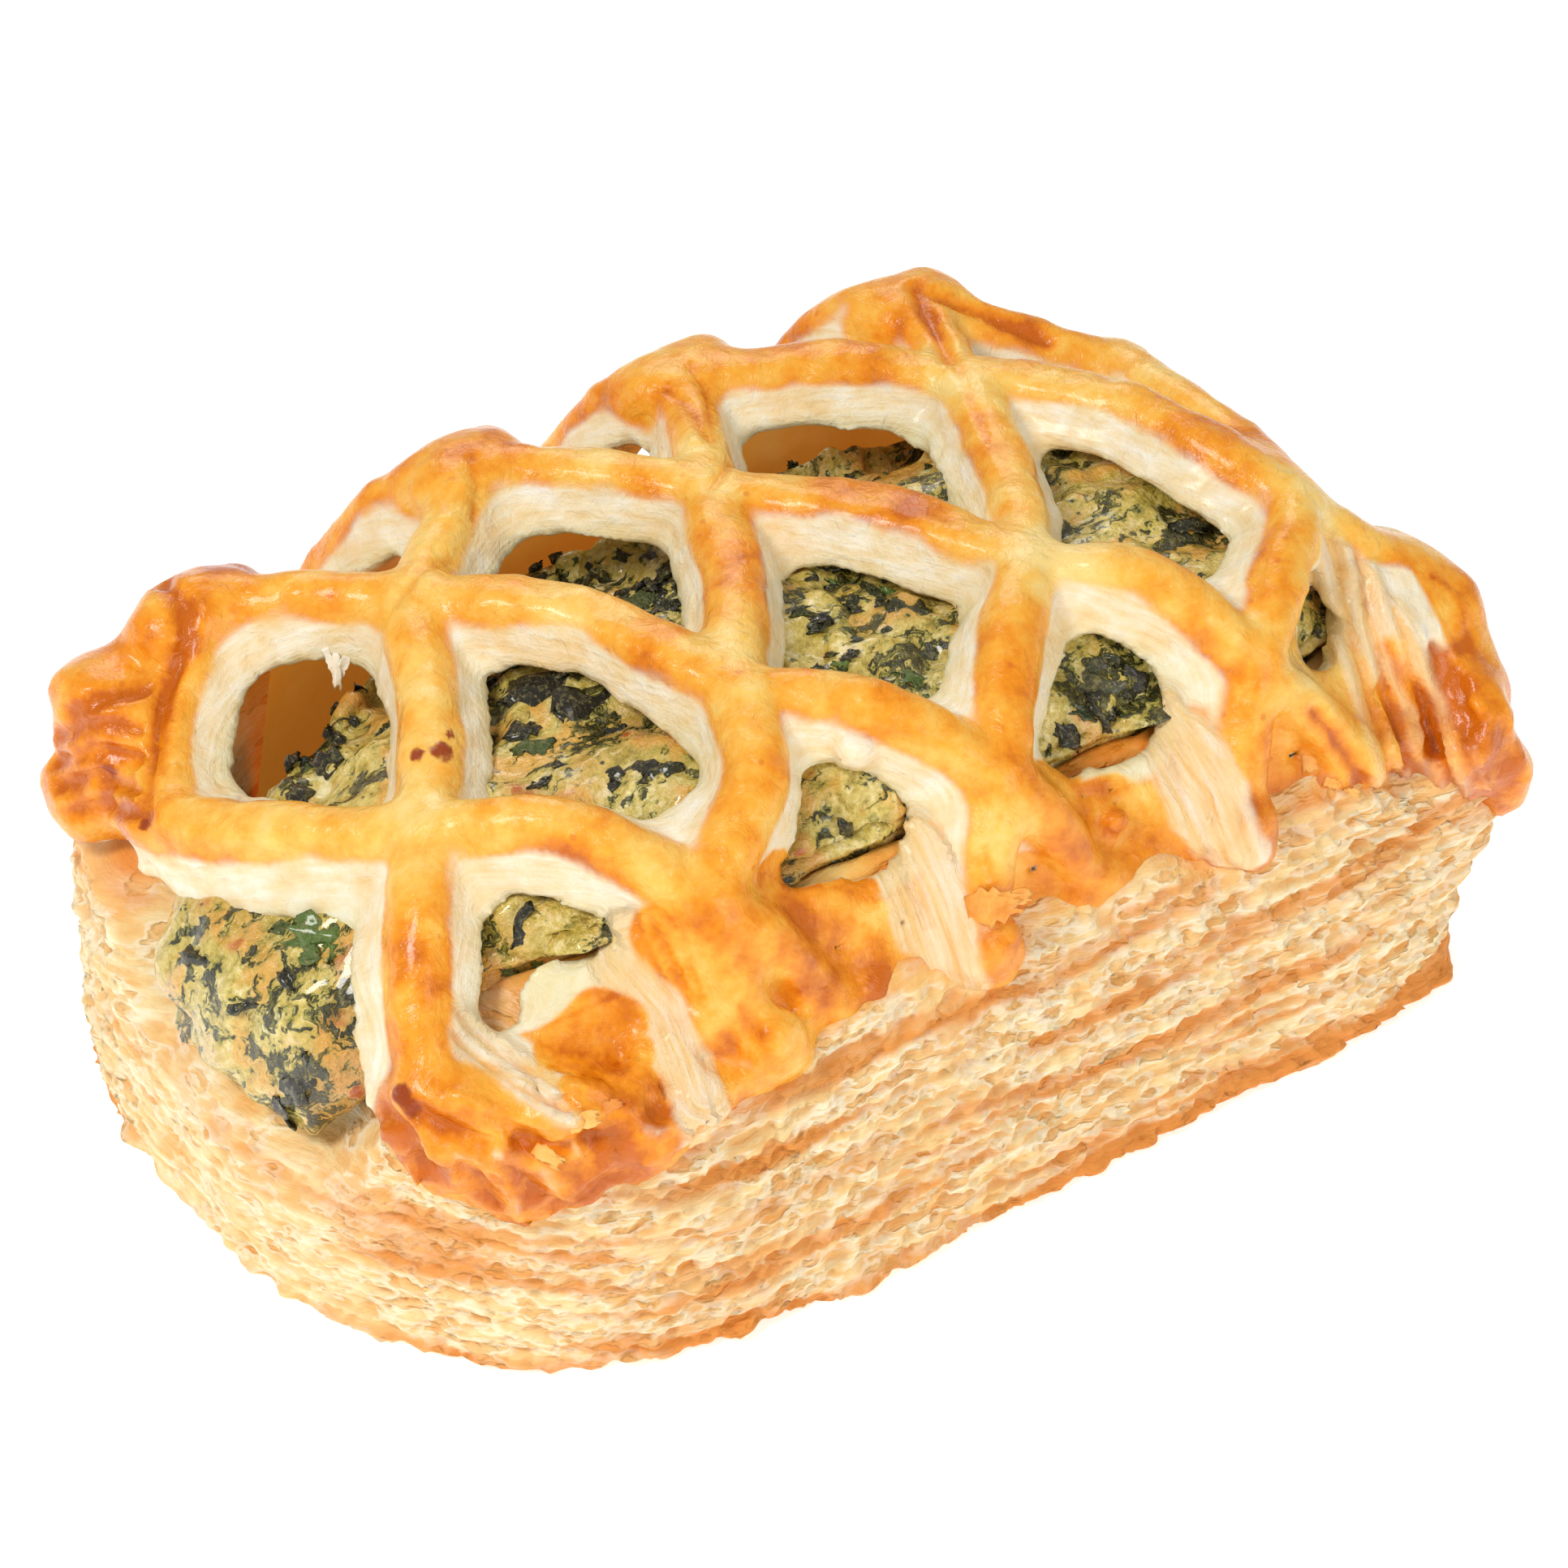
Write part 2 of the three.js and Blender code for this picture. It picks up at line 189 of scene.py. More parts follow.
cube_corners = list(itertools.product((0, 1), repeat=3))


# Small helpers on arrays

def smooth(low, high, value):
    t = np.clip((value - low) / (high - low), 0.0, 1.0)
    return t * t * (3.0 - 2.0 * t)


def mix(a, b, t):
    return a + (b - a) * t


def smooth_min(a, b, k):
    h = np.clip(0.5 + 0.5 * (b - a) / k, 0.0, 1.0)
    return b + (a - b) * h - k * h * (1.0 - h)


def smooth_max(a, b, k):
    return -smooth_min(-a, -b, k)


def unit(v):
    v = np.asarray(v, dtype=float)
    return v / np.maximum(1e-9, np.linalg.norm(v, axis=-1, keepdims=True))


def wave(value, period):
    return np.cos(2.0 * math.pi * value / period)


def running(steps):
    """The sum of the steps up to each one, from nothing."""
    return np.concatenate([[0.0], np.cumsum(steps)])


class Noise:
    """Smooth value noise between -1 and 1, on a table of seeded random numbers."""

    def __init__(self, seed):
        rng = np.random.default_rng(seed)
        self.table = rng.uniform(-1.0, 1.0, (32, 32, 32)).astype(np.float32)

    def __call__(self, x, y, z, size):
        total = 0.0
        cells = []
        weights = []
        for value in (x, y, z):
            q = np.asarray(value, dtype=np.float32) / size
            base = np.floor(q)
            part = q - base
            part = part * part * (3.0 - 2.0 * part)
            base = base.astype(np.int32)
            cells.append((base & 31, (base + 1) & 31))
            weights.append((1.0 - part, part))
        for i, j, k in cube_corners:
            corner = self.table[cells[0][i], cells[1][j], cells[2][k]]
            total = total + corner * weights[0][i] * weights[1][j] * weights[2][k]
        return total


noise_a = Noise(11)
noise_b = Noise(23)
noise_c = Noise(37)


def layered(noise, x, y, z, size):
    """Noise of two sizes, the finer one weaker."""
    fine = noise(x + 17.0, y - 9.0, z + 5.0, size * 0.5)
    return noise(x, y, z, size) + 0.55 * fine


# Camera's view of the object

def photo_ray(px, py):
    """The direction of a pixel of the photograph from the camera's eye."""
    return unit(picture_right * (px - frame_middle) / focal_pixels
                + picture_up * (frame_middle - py) / focal_pixels - towards_camera)


def photo_pixels(points):
    """Where the photograph shows the points, in its pixels."""
    away = points - camera_eye
    depth = -(away @ towards_camera)
    return (frame_middle + focal_pixels * (away @ picture_right) / depth,
            frame_middle - focal_pixels * (away @ picture_up) / depth)


def picture_direction(right_pixels, up_pixels):
    return unit(right_pixels * picture_right + up_pixels * picture_up)


def surface_at(tree, px, py):
    """The point of a surface that a pixel of the photograph shows, and its normal, or None."""
    place, normal, _, _ = tree.ray_cast(camera_eye.tolist(), photo_ray(px, py).tolist())
    if place is None:
        return None, None
    return np.array(place), np.array(normal)


def marks_at(tree, vertices, marks):
    """1 at each mark, falling to 0 at its radius; a mark is a pixel of the photograph and a radius."""
    total = np.zeros(len(vertices))
    for px, py, radius in marks:
        place, _ = surface_at(tree, px, py)
        if place is not None:
            distance = np.linalg.norm(vertices - place, axis=1)
            total = np.maximum(total, 1.0 - smooth(0.35 * radius, radius, distance))
    return total


def line_marks(tree, vertices, lines, width):
    """How near each vertex is to lines of the photograph's pixels, laid on a surface."""
    total = np.zeros(len(vertices))
    for pixels in lines:
        hits = []
        for (ax, ay), (bx, by) in zip(pixels, pixels[1:]):
            count = max(2, int(math.hypot(bx - ax, by - ay) / 7.0))
            for t in np.linspace(0.0, 1.0, count):
                place, _ = surface_at(tree, mix(ax, bx, t), mix(ay, by, t))
                if place is not None and (not hits or np.linalg.norm(place - hits[-1]) < 4.0):
                    hits.append(place)
        if len(hits) < 2:
            continue
        hits = np.array(hits)
        low = hits.min(axis=0) - width
        high = hits.max(axis=0) + width
        index = np.flatnonzero(np.all((vertices > low) & (vertices < high), axis=1))
        close = vertices[index]
        distance = np.full(len(index), 99.0)
        for a, b in zip(hits, hits[1:]):
            ab = b - a
            t = np.clip((close - a) @ ab / max(1e-9, ab @ ab), 0.0, 1.0)
            distance = np.minimum(distance, np.linalg.norm(close - a - t[:, None] * ab, axis=1))
        total[index] = np.maximum(total[index], 1.0 - smooth(0.0, width, distance))
    return total


def across_line(px, py, pixels):
    """Signed distance from a line of pixels, as millimetres in the picture."""
    best = np.full(len(px), 1e9)
    value = np.zeros(len(px))
    for (ax, ay), (bx, by) in zip(pixels, pixels[1:]):
        ux = bx - ax
        uy = by - ay
        t = np.clip(((px - ax) * ux + (py - ay) * uy) / (ux * ux + uy * uy), 0.0, 1.0)
        distance = np.hypot(px - ax - t * ux, py - ay - t * uy)
        side = np.sign((px - ax) * uy - (py - ay) * ux)
        closer = distance < best
        best = np.where(closer, distance, best)
        value = np.where(closer, side * distance, value)
    return value / pixels_per_mm


# Dome

def dome_reach(x, y):
    left = (np.maximum(0.0, -x) / dome_left) ** dome_left_power
    right = (np.maximum(0.0, x) / dome_right) ** dome_right_power
    across = (np.abs(y - dome_centre_y) / dome_half_depth) ** dome_depth_power
    return left + right + across


def dome_height(x, y):
    return dome_rim + dome_rise * np.sqrt(np.maximum(0.0, 1.0 - dome_reach(x, y)))


def dome_gradient(x, y, z):
    left = -dome_left_power * (np.maximum(0.0, -x) / dome_left) ** (dome_left_power - 1) / dome_left
    right = dome_right_power * (np.maximum(0.0, x) / dome_right) ** (dome_right_power - 1) / dome_right
    side = (y - dome_centre_y) / dome_half_depth
    across = np.sign(side) * dome_depth_power * np.abs(side) ** (dome_depth_power - 1) / dome_half_depth
    up = np.maximum(0.012, 2.0 * (z - dome_rim) / dome_rise ** 2)
    return np.stack(np.broadcast_arrays(np.where(x < 0, left, right), across, up), axis=-1)


def dome_normal(points):
    return unit(dome_gradient(points[..., 0], points[..., 1], points[..., 2]))


def dome_depth(x, y, z):
    """How far a point lies above (+) or below (-) the dome, near enough."""
    value = dome_reach(x, y) + (np.maximum(0.0, z - dome_rim) / dome_rise) ** 2 - 1.0
    return value / np.linalg.norm(dome_gradient(x, y, z), axis=-1)


def dome_point(px, py, lift=0.0):
    """The point of the dome that a pixel of the photograph shows."""
    steps = camera_distance - 75.0 + 0.25 * np.arange(600)
    points = camera_eye + steps[:, None] * photo_ray(px, py)
    depth = dome_depth(points[:, 0], points[:, 1], points[:, 2])
    under = depth < lift
    return points[np.argmax(under)] if under.any() else points[np.argmin(depth)]


# Routes of the strips

def crossing(point, height=None):
    """A point of the lists above on the dome, or at a given height."""
    x, y = point[:2]
    lift = point[2] if len(point) > 2 else 0.0
    z = height if height is not None else float(dome_height(x, y)) + lift
    return np.array([x, y, z])


def between(p, q, start, end, t):
    return p * (end - t) / (end - start) + q * (t - start) / (end - start)


def curve_through(points, spacing):
    """A centripetal Catmull-Rom curve through the points, as evenly spaced samples."""
    points = [np.array(p, dtype=float) for p in points]
    points = [2 * points[0] - points[1]] + points + [2 * points[-1] - points[-2]]
    samples = []
    for i in range(1, len(points) - 2):
        p = points[i - 1:i + 3]
        knots = [0.0]
        for a, b in zip(p, p[1:]):
            knots.append(knots[-1] + math.sqrt(np.linalg.norm(b - a)))
        for t in np.linspace(knots[1], knots[2], 25)[:-1]:
            a = [between(p[k], p[k + 1], knots[k], knots[k + 1], t) for k in range(3)]
            b = [between(a[k], a[k + 1], knots[k], knots[k + 2], t) for k in range(2)]
            samples.append(between(b[0], b[1], knots[1], knots[2], t))
    samples.append(points[-2])
    samples = np.array(samples)
    lengths = running(np.linalg.norm(np.diff(samples, axis=0), axis=1))
    count = max(3, int(round(lengths[-1] / spacing)))
    wanted = np.linspace(0.0, lengths[-1], count + 1)
    return np.stack([np.interp(wanted, lengths, samples[:, k]) for k in range(3)], axis=1)


def arch(start, end, up_pixels, right_pixels=0.0):
    """A point between two crossings, moved as the photograph shows, in its pixels."""
    up = up_pixels / pixels_per_mm
    right = right_pixels / pixels_per_mm
    middle = 0.5 * (start[:2] + end[:2])
    away = np.array([-picture_right[1], picture_right[0]])
    middle = middle + 0.8 * up * away + right * picture_right[:2]
    return crossing([middle[0], middle[1], 0.62 * up])


def route(*stops):
    """A strip's points; a tuple of pixels between two of them bends the strip there."""
    return [arch(stops[i - 1], stops[i + 1], *stop) if isinstance(stop, tuple) else stop
            for i, stop in enumerate(stops)]


def over_back(start, end):
    part = start[:2] + 0.42 * (end[:2] - start[:2])
    return [start, crossing([part[0], part[1], 0.6]), end]


def lattice_routes():
    foot = [crossing(p, edge_height) for p in feet]
    toe = [crossing(p, edge_height) for p in toes]
    first, middle, second, third = (
        [crossing(p) for p in row] for row in (front_row, middle_row, back_middle_row, back_row))
    first[0][2] = front_left_corner_height
    first[4][2] = front_right_corner_height
    back = [crossing(p, back_edge_height) for p in back_edge]
    back[0][2] = back_left_height
    rising = [
        route(foot[0], first[1], (0, 34), middle[1], (0, 12), second[2], *over_back(third[2], back[3])),
        route(foot[1], first[2], (0, -8), middle[2], (0, 14), second[3], *over_back(third[3], back[4])),
        route(foot[2], first[3], (0, 10), middle[3], second[4], right_back_corner),
        route(first[0], (0, -14), middle[0], (0, 12), second[1], *over_back(third[1], back[2])),
        route(second[0], (0, -22), *over_back(third[0], back[1])),
    ]
    falling = [
        route(toe[0], first[0]),
        route(toe[1], (-16,), first[1], (16,), middle[0], second[0], left_corner),
        route(toe[2], (-16,), first[2], (6,), middle[1], (44,), second[1], (20,), third[0], back[0]),
        route(toe[3], (-10,), first[3], (18,), middle[2], (30,), second[2], (16,),
              *over_back(third[1], back[1])),
        route(right_front_corner, first[4], middle[3], (44,), second[3], (20,),
              *over_back(third[2], back[2])),
        route(second[4], *over_back(third[3], back[3])),
    ]
    return rising, falling


# Distance fields on a grid

class Field:
    """A distance field on an even grid, negative inside."""

    def __init__(self, low, high, step):
        self.low = np.array(low, dtype=float)
        self.step = step
        counts = np.ceil((np.array(high) - self.low) / step).astype(int) + 1
        self.axes = [self.low[k] + step * np.arange(counts[k]) for k in range(3)]
        self.values = np.full(tuple(counts), far_away, dtype=np.float32)
        self.skin = np.full(tuple(counts), far_from_skin, dtype=np.float32)

    def block(self, low, high):
        """The slices of the grid in a box, with the grid's coordinates there."""
        slices = []
        coordinates = []
        for k in range(3):
            start = max(0, int(math.floor((low[k] - self.low[k]) / self.step)))
            end = min(self.values.shape[k], int(math.ceil((high[k] - self.low[k]) / self.step)) + 1)
            if end <= start:
                return None, None
            slices.append(slice(start, end))
            shape = [1, 1, 1]
            shape[k] = -1
            coordinates.append(self.axes[k][start:end].astype(np.float32).reshape(shape))
        return tuple(slices), coordinates

    def join(self, slices, values, blend, skin):
        """Adds a shape; skin is how far a point lies beyond that shape's glazed top."""
        self.values[slices] = smooth_min(self.values[slices], values, blend)
        self.skin[slices] = smooth_min(self.skin[slices], skin, skin_blend)

    def carve(self, slices, values, blend):
        self.values[slices] = smooth_max(self.values[slices], -values, blend)

    def skin_at(self, points):
        """The skin's values at the points, by straight-line interpolation."""
        q = (points - self.low) / self.step
        base = np.clip(np.floor(q).astype(int), 0, np.array(self.skin.shape) - 2)
        part = q - base
        total = np.zeros(len(points))
        for corner in cube_corners:
            weight = 1.0
            for axis in range(3):
                weight = weight * (part[:, axis] if corner[axis] else 1 - part[:, axis])
            total += weight * self.skin[tuple((base + corner).T)]
        return total

    def stretches(self, samples, slices, reach):
        """Each straight stretch of a curve: number, block, share of its length, offset from it."""
        starts = [s.start for s in slices]
        for i in range(len(samples) - 1):
            a = samples[i]
            b = samples[i + 1]
            part, axes = self.block(np.minimum(a, b) - reach, np.maximum(a, b) + reach)
            if part is None:
                continue
            local = tuple(slice(s.start - o, s.stop - o) for s, o in zip(part, starts))
            ab = b - a
            px, py, pz = [axis - a[k] for k, axis in enumerate(axes)]
            t = np.clip((px * ab[0] + py * ab[1] + pz * ab[2]) / float(ab @ ab), 0.0, 1.0)
            yield i, local, t, (px - t * ab[0], py - t * ab[1], pz - t * ab[2])


def strip_frames(samples):
    tangents = unit(np.gradient(samples, axis=0))
    normals = dome_normal(samples)
    normals = unit(normals - tangents * np.sum(normals * tangents, axis=1, keepdims=True))
    return tangents, normals, unit(np.cross(tangents, normals))


def strip_sizes(samples):
    """Half widths of the top, of the foot on its two sides, and the depth, along a strip."""
    x, y, z = samples.T
    lowness = 1.0 - smooth(27.0, 38.0, z)
    gathered = smooth(39.0, 46.0, x) * smooth(12.0, 20.0, -y)
    wander = noise_a(x, y, z, 9.0)
    top = 0.5 * strip_top_width + 0.35 * wander
    left_end = smooth(30.0, 42.0, -x) * smooth(16.0, 6.0, y) * smooth(-27.0, -20.0, y)
    base = 0.5 * (strip_base_width - 1.4 * lowness + gather_spread * gathered) + 0.3 * wander
    return top, base, base + left_end_spread * left_end, mix(strip_thickness, edge_thickness, lowness)


def add_strip(field, points, flank=0.0):
    samples = curve_through(points, strip_sampling)
    tangents, normals, sides = strip_frames(samples)
    top, base, end_base, depth = strip_sizes(samples)
    end_base = end_base + flank * smooth(20.5, 26.5, -samples[:, 1])
    slices, _ = field.block(samples.min(axis=0) - strip_reach, samples.max(axis=0) + strip_reach)
    own = np.full(field.values[slices].shape, far_away, dtype=np.float32)
    skin = np.full(own.shape, far_from_skin, dtype=np.float32)
    for i, local, t, offset in field.stretches(samples, slices, strip_reach):

        def here(table):
            return mix(table[i], table[i + 1], t)

        def along_axis(table):
            x, y, z = [part * here(table[:, k]) for k, part in enumerate(offset)]
            return x + y + z

        across = along_axis(sides)
        half_base = np.where(across < 0, here(end_base), here(base))
        across = np.abs(across)
        up = along_axis(normals)
        beyond = np.abs(along_axis(tangents)) - 0.4
        half_top = here(top)
        deep = here(depth)
        down = np.clip(-up / deep, 0.0, 1.3)
        wall = (across - (half_top + (half_base - half_top) * down ** 1.6)) * 0.8
        crown = up - strip_crown * (1.0 - (across / (half_top + 0.6)) ** 2)
        shape = smooth_max(smooth_max(wall, crown, 1.4), -deep - up, 1.6)
        own[local] = np.minimum(own[local], np.maximum(shape, beyond))
        beyond_top = np.maximum(across - half_top - 0.35, -up - 1.3)
        skin[local] = np.minimum(skin[local], np.maximum(beyond_top, beyond))
    field.join(slices, own, crossing_blend, skin)


def add_rib(field, points, radii, blend, groove=False):
    """A soft cord-like ridge, or a groove, along a curve, with a radius that changes along it."""
    samples = curve_through(points, rib_sampling)
    along = np.linspace(0.0, 1.0, len(samples))
    radius = np.interp(along, np.linspace(0.0, 1.0, len(radii)), radii)
    reach = max(radii) + blend + 1.5
    slices, _ = field.block(samples.min(axis=0) - reach, samples.max(axis=0) + reach)
    own = np.full(field.values[slices].shape, far_away, dtype=np.float32)
    for i, local, t, (dx, dy, dz) in field.stretches(samples, slices, reach):
        shape = np.sqrt(dx * dx + dy * dy + dz * dz) - mix(radius[i], radius[i + 1], t)
        own[local] = np.minimum(own[local], shape)
    if groove:
        field.carve(slices, own, blend)
    else:
        field.join(slices, own, blend, own - glaze_depth)


def turn_matrix(turn):
    cx, cy, cz = np.cos(turn)
    sx, sy, sz = np.sin(turn)
    about_x = np.array([[1, 0, 0], [0, cx, -sx], [0, sx, cx]])
    about_y = np.array([[cy, 0, sy], [0, 1, 0], [-sy, 0, cy]])
    about_z = np.array([[cz, -sz, 0], [sz, cz, 0], [0, 0, 1]])
    return about_x @ about_y @ about_z


def add_lump(field, centre, size, turn, blend, glazed=-1.0):
    """A soft ellipsoid, turned as in the solids."""
    reach = max(size) + blend + 1.0
    centre = np.array(centre, dtype=float)
    part, axes = field.block(centre - reach, centre + reach)
    if part is None:
        return
    back = turn_matrix(turn).T
    dx, dy, dz = [axis - centre[k] for k, axis in enumerate(axes)]
    local = [back[k, 0] * dx + back[k, 1] * dy + back[k, 2] * dz for k in range(3)]
    scaled = np.sqrt(sum((local[k] / size[k]) ** 2 for k in range(3)))
    shape = (scaled - 1.0) * min(size)
    field.join(part, shape, blend, shape - glaze_depth + (1.0 + glazed))


def surface_net(field):
    """Vertices and quads of the zero level of a field, by naive surface nets."""
    values = field.values
    inside = values < 0.0
    corner_count = np.zeros(tuple(n - 1 for n in values.shape), dtype=np.int8)
    for corner in cube_corners:
        corner_count += inside[tuple(slice(c, n - 1 + c) for c, n in zip(corner, values.shape))]
    active = (corner_count > 0) & (corner_count < 8)
    cells = np.argwhere(active)
    number = np.full(active.shape, -1, dtype=np.int32)
    number[active] = np.arange(len(cells))
    total = np.zeros((len(cells), 3))
    count = np.zeros(len(cells))
    corner_values = {c: values[tuple((cells + c).T)] for c in cube_corners}
    for corner in cube_corners:
        for axis in range(3):
            if corner[axis] == 1:
                continue
            va = corner_values[corner]
            vb = corner_values[corner[:axis] + (1,) + corner[axis + 1:]]
            crosses = (va < 0) != (vb < 0)
            point = np.array(corner, dtype=float)[None, :].repeat(len(cells), axis=0)
            point[:, axis] += np.where(crosses, va / np.where(crosses, va - vb, 1.0), 0.0)
            total += point * crosses[:, None]
            count += crosses
    vertices = field.low + field.step * (cells + total / np.maximum(1, count)[:, None])
    quads = []
    for axis in range(3):
        low = [slice(1, -1)] * 3
        low[axis] = slice(0, -1)
        high = [slice(1, -1)] * 3
        high[axis] = slice(1, None)
        first = inside[tuple(low)]
        changes = first != inside[tuple(high)]
        where = np.argwhere(changes)
        starts_inside = first[changes]
        u = (axis + 1) % 3
        v = (axis + 2) % 3
        where[:, [u, v]] += 1
        ring = []
        for step in ((-1, -1), (0, -1), (0, 0), (-1, 0)):
            cell = where.copy()
            cell[:, [u, v]] += step
            ring.append(number[tuple(cell.T)])
        quad = np.stack(ring, axis=1)
        quad[~starts_inside] = quad[~starts_inside][:, ::-1]
        quads.append(quad)
    quads = np.concatenate(quads)
    return vertices, quads[(quads >= 0).all(axis=1)]


# Meshes

def vertex_normals(vertices, quads):
    a, b, c, d = [vertices[quads[:, k]] for k in range(4)]
    face = np.cross(c - a, d - b)
    normals = np.zeros_like(vertices)
    for k in range(4):
        for axis in range(3):
            normals[:, axis] += np.bincount(quads[:, k], face[:, axis], minlength=len(vertices))
    return unit(normals)


def relax(vertices, quads, rounds, amount):
    """Moves each vertex towards the middle of its neighbours."""
    count = len(vertices)
    for _ in range(rounds):
        total = np.zeros_like(vertices)
        degree = np.zeros(count)
        for k in range(4):
            here = quads[:, k]
            there = quads[:, (k + 1) % 4]
            for p, q in ((here, there), (there, here)):
                for axis in range(3):
                    total[:, axis] += np.bincount(p, vertices[q, axis], minlength=count)
                degree += np.bincount(p, minlength=count)
        mean = total / np.maximum(1, degree)[:, None]
        vertices = vertices + amount * (mean - vertices)
    return vertices


def keep_largest(vertices, quads):
    """Drops loose scraps: keeps the vertices that hang together with most of the mesh."""
    label = np.arange(len(vertices))
    while True:
        before = label.copy()
        low = label[quads].min(axis=1)
        for k in range(4):
            np.minimum.at(label, quads[:, k], low)
        label = label[label]
        if (label == before).all():
            break
    names, sizes = np.unique(label, return_counts=True)
    keep = label == names[np.argmax(sizes)]
    number = np.cumsum(keep) - 1
    return vertices[keep], number[quads[keep[quads].all(axis=1)]]


def grid_quads(rows, columns, closed=False):
    """Quads between neighbouring rows of points, closed to rings if asked."""
    index = np.arange(rows * columns).reshape(rows, columns)
    if closed:
        index = np.concatenate([index, index[:, :1]], axis=1)
    around = [index[:-1, :-1], index[:-1, 1:], index[1:, 1:], index[1:, :-1]]
    return np.stack(around, axis=-1).reshape(-1, 4)


def tree_of(vertices, quads):
    return BVHTree.FromPolygons(vertices.tolist(), quads.tolist())


def merge(parts):
    vertices = []
    quads = []
    start = 0
    for v, q in parts:
        vertices.append(v)
        quads.append(q + start)
        start += len(v)
    return np.concatenate(vertices), np.concatenate(quads)


def make_object(name, vertices, faces, material, attributes=None):
    """A smooth-shaded object from design millimetres, riding on the one body."""
    mesh = bpy.data.meshes.new(name)
    points = (np.asarray(vertices, dtype=float) + design_shift) * 0.001
    points = np.clip(points, np.array(cad_box[0]) + 1e-5, np.array(cad_box[1]) - 1e-5)
    mesh.vertices.add(len(points))
    mesh.vertices.foreach_set("co", points.astype(np.float32).ravel())
    mesh.loops.add(faces.size)
    mesh.loops.foreach_set("vertex_index", faces.astype(np.int32).ravel())
    mesh.polygons.add(len(faces))
    mesh.polygons.foreach_set("loop_start", np.arange(0, faces.size, faces.shape[1], dtype=np.int32))
    mesh.update(calc_edges=True)
    mesh.validate()
    mesh.polygons.foreach_set("use_smooth", np.ones(len(mesh.polygons), dtype=bool))
    for key, values in (attributes or {}).items():
        layer = mesh.attributes.new(key, "FLOAT", "POINT")
        layer.data.foreach_set("value", np.asarray(values, dtype=np.float32))
    mesh.materials.append(material)
    piece = bpy.data.objects.new(name, mesh)
    bpy.context.scene.collection.objects.link(piece)
    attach(piece, "root")
    return piece


# Materials

def colour(red, green, blue):
    """A display colour from 0 to 255 as scene-linear values."""
    values = []
    for part in (red, green, blue):
        part = part / 255.0
        values.append(part / 12.92 if part <= 0.04045 else ((part + 0.055) / 1.055) ** 2.4)
    return (*values, 1.0)


class Value:
    """A number that a material's node gives, for plain arithmetic with other ones."""

    def __init__(self, shader, socket):
        self.shader = shader
        self.socket = socket

    def __add__(self, other):
        return self.shader.math("ADD", self, other)

    def __sub__(self, other):
        return self.shader.math("SUBTRACT", self, other)

    def __mul__(self, other):
        return self.shader.math("MULTIPLY", self, other)


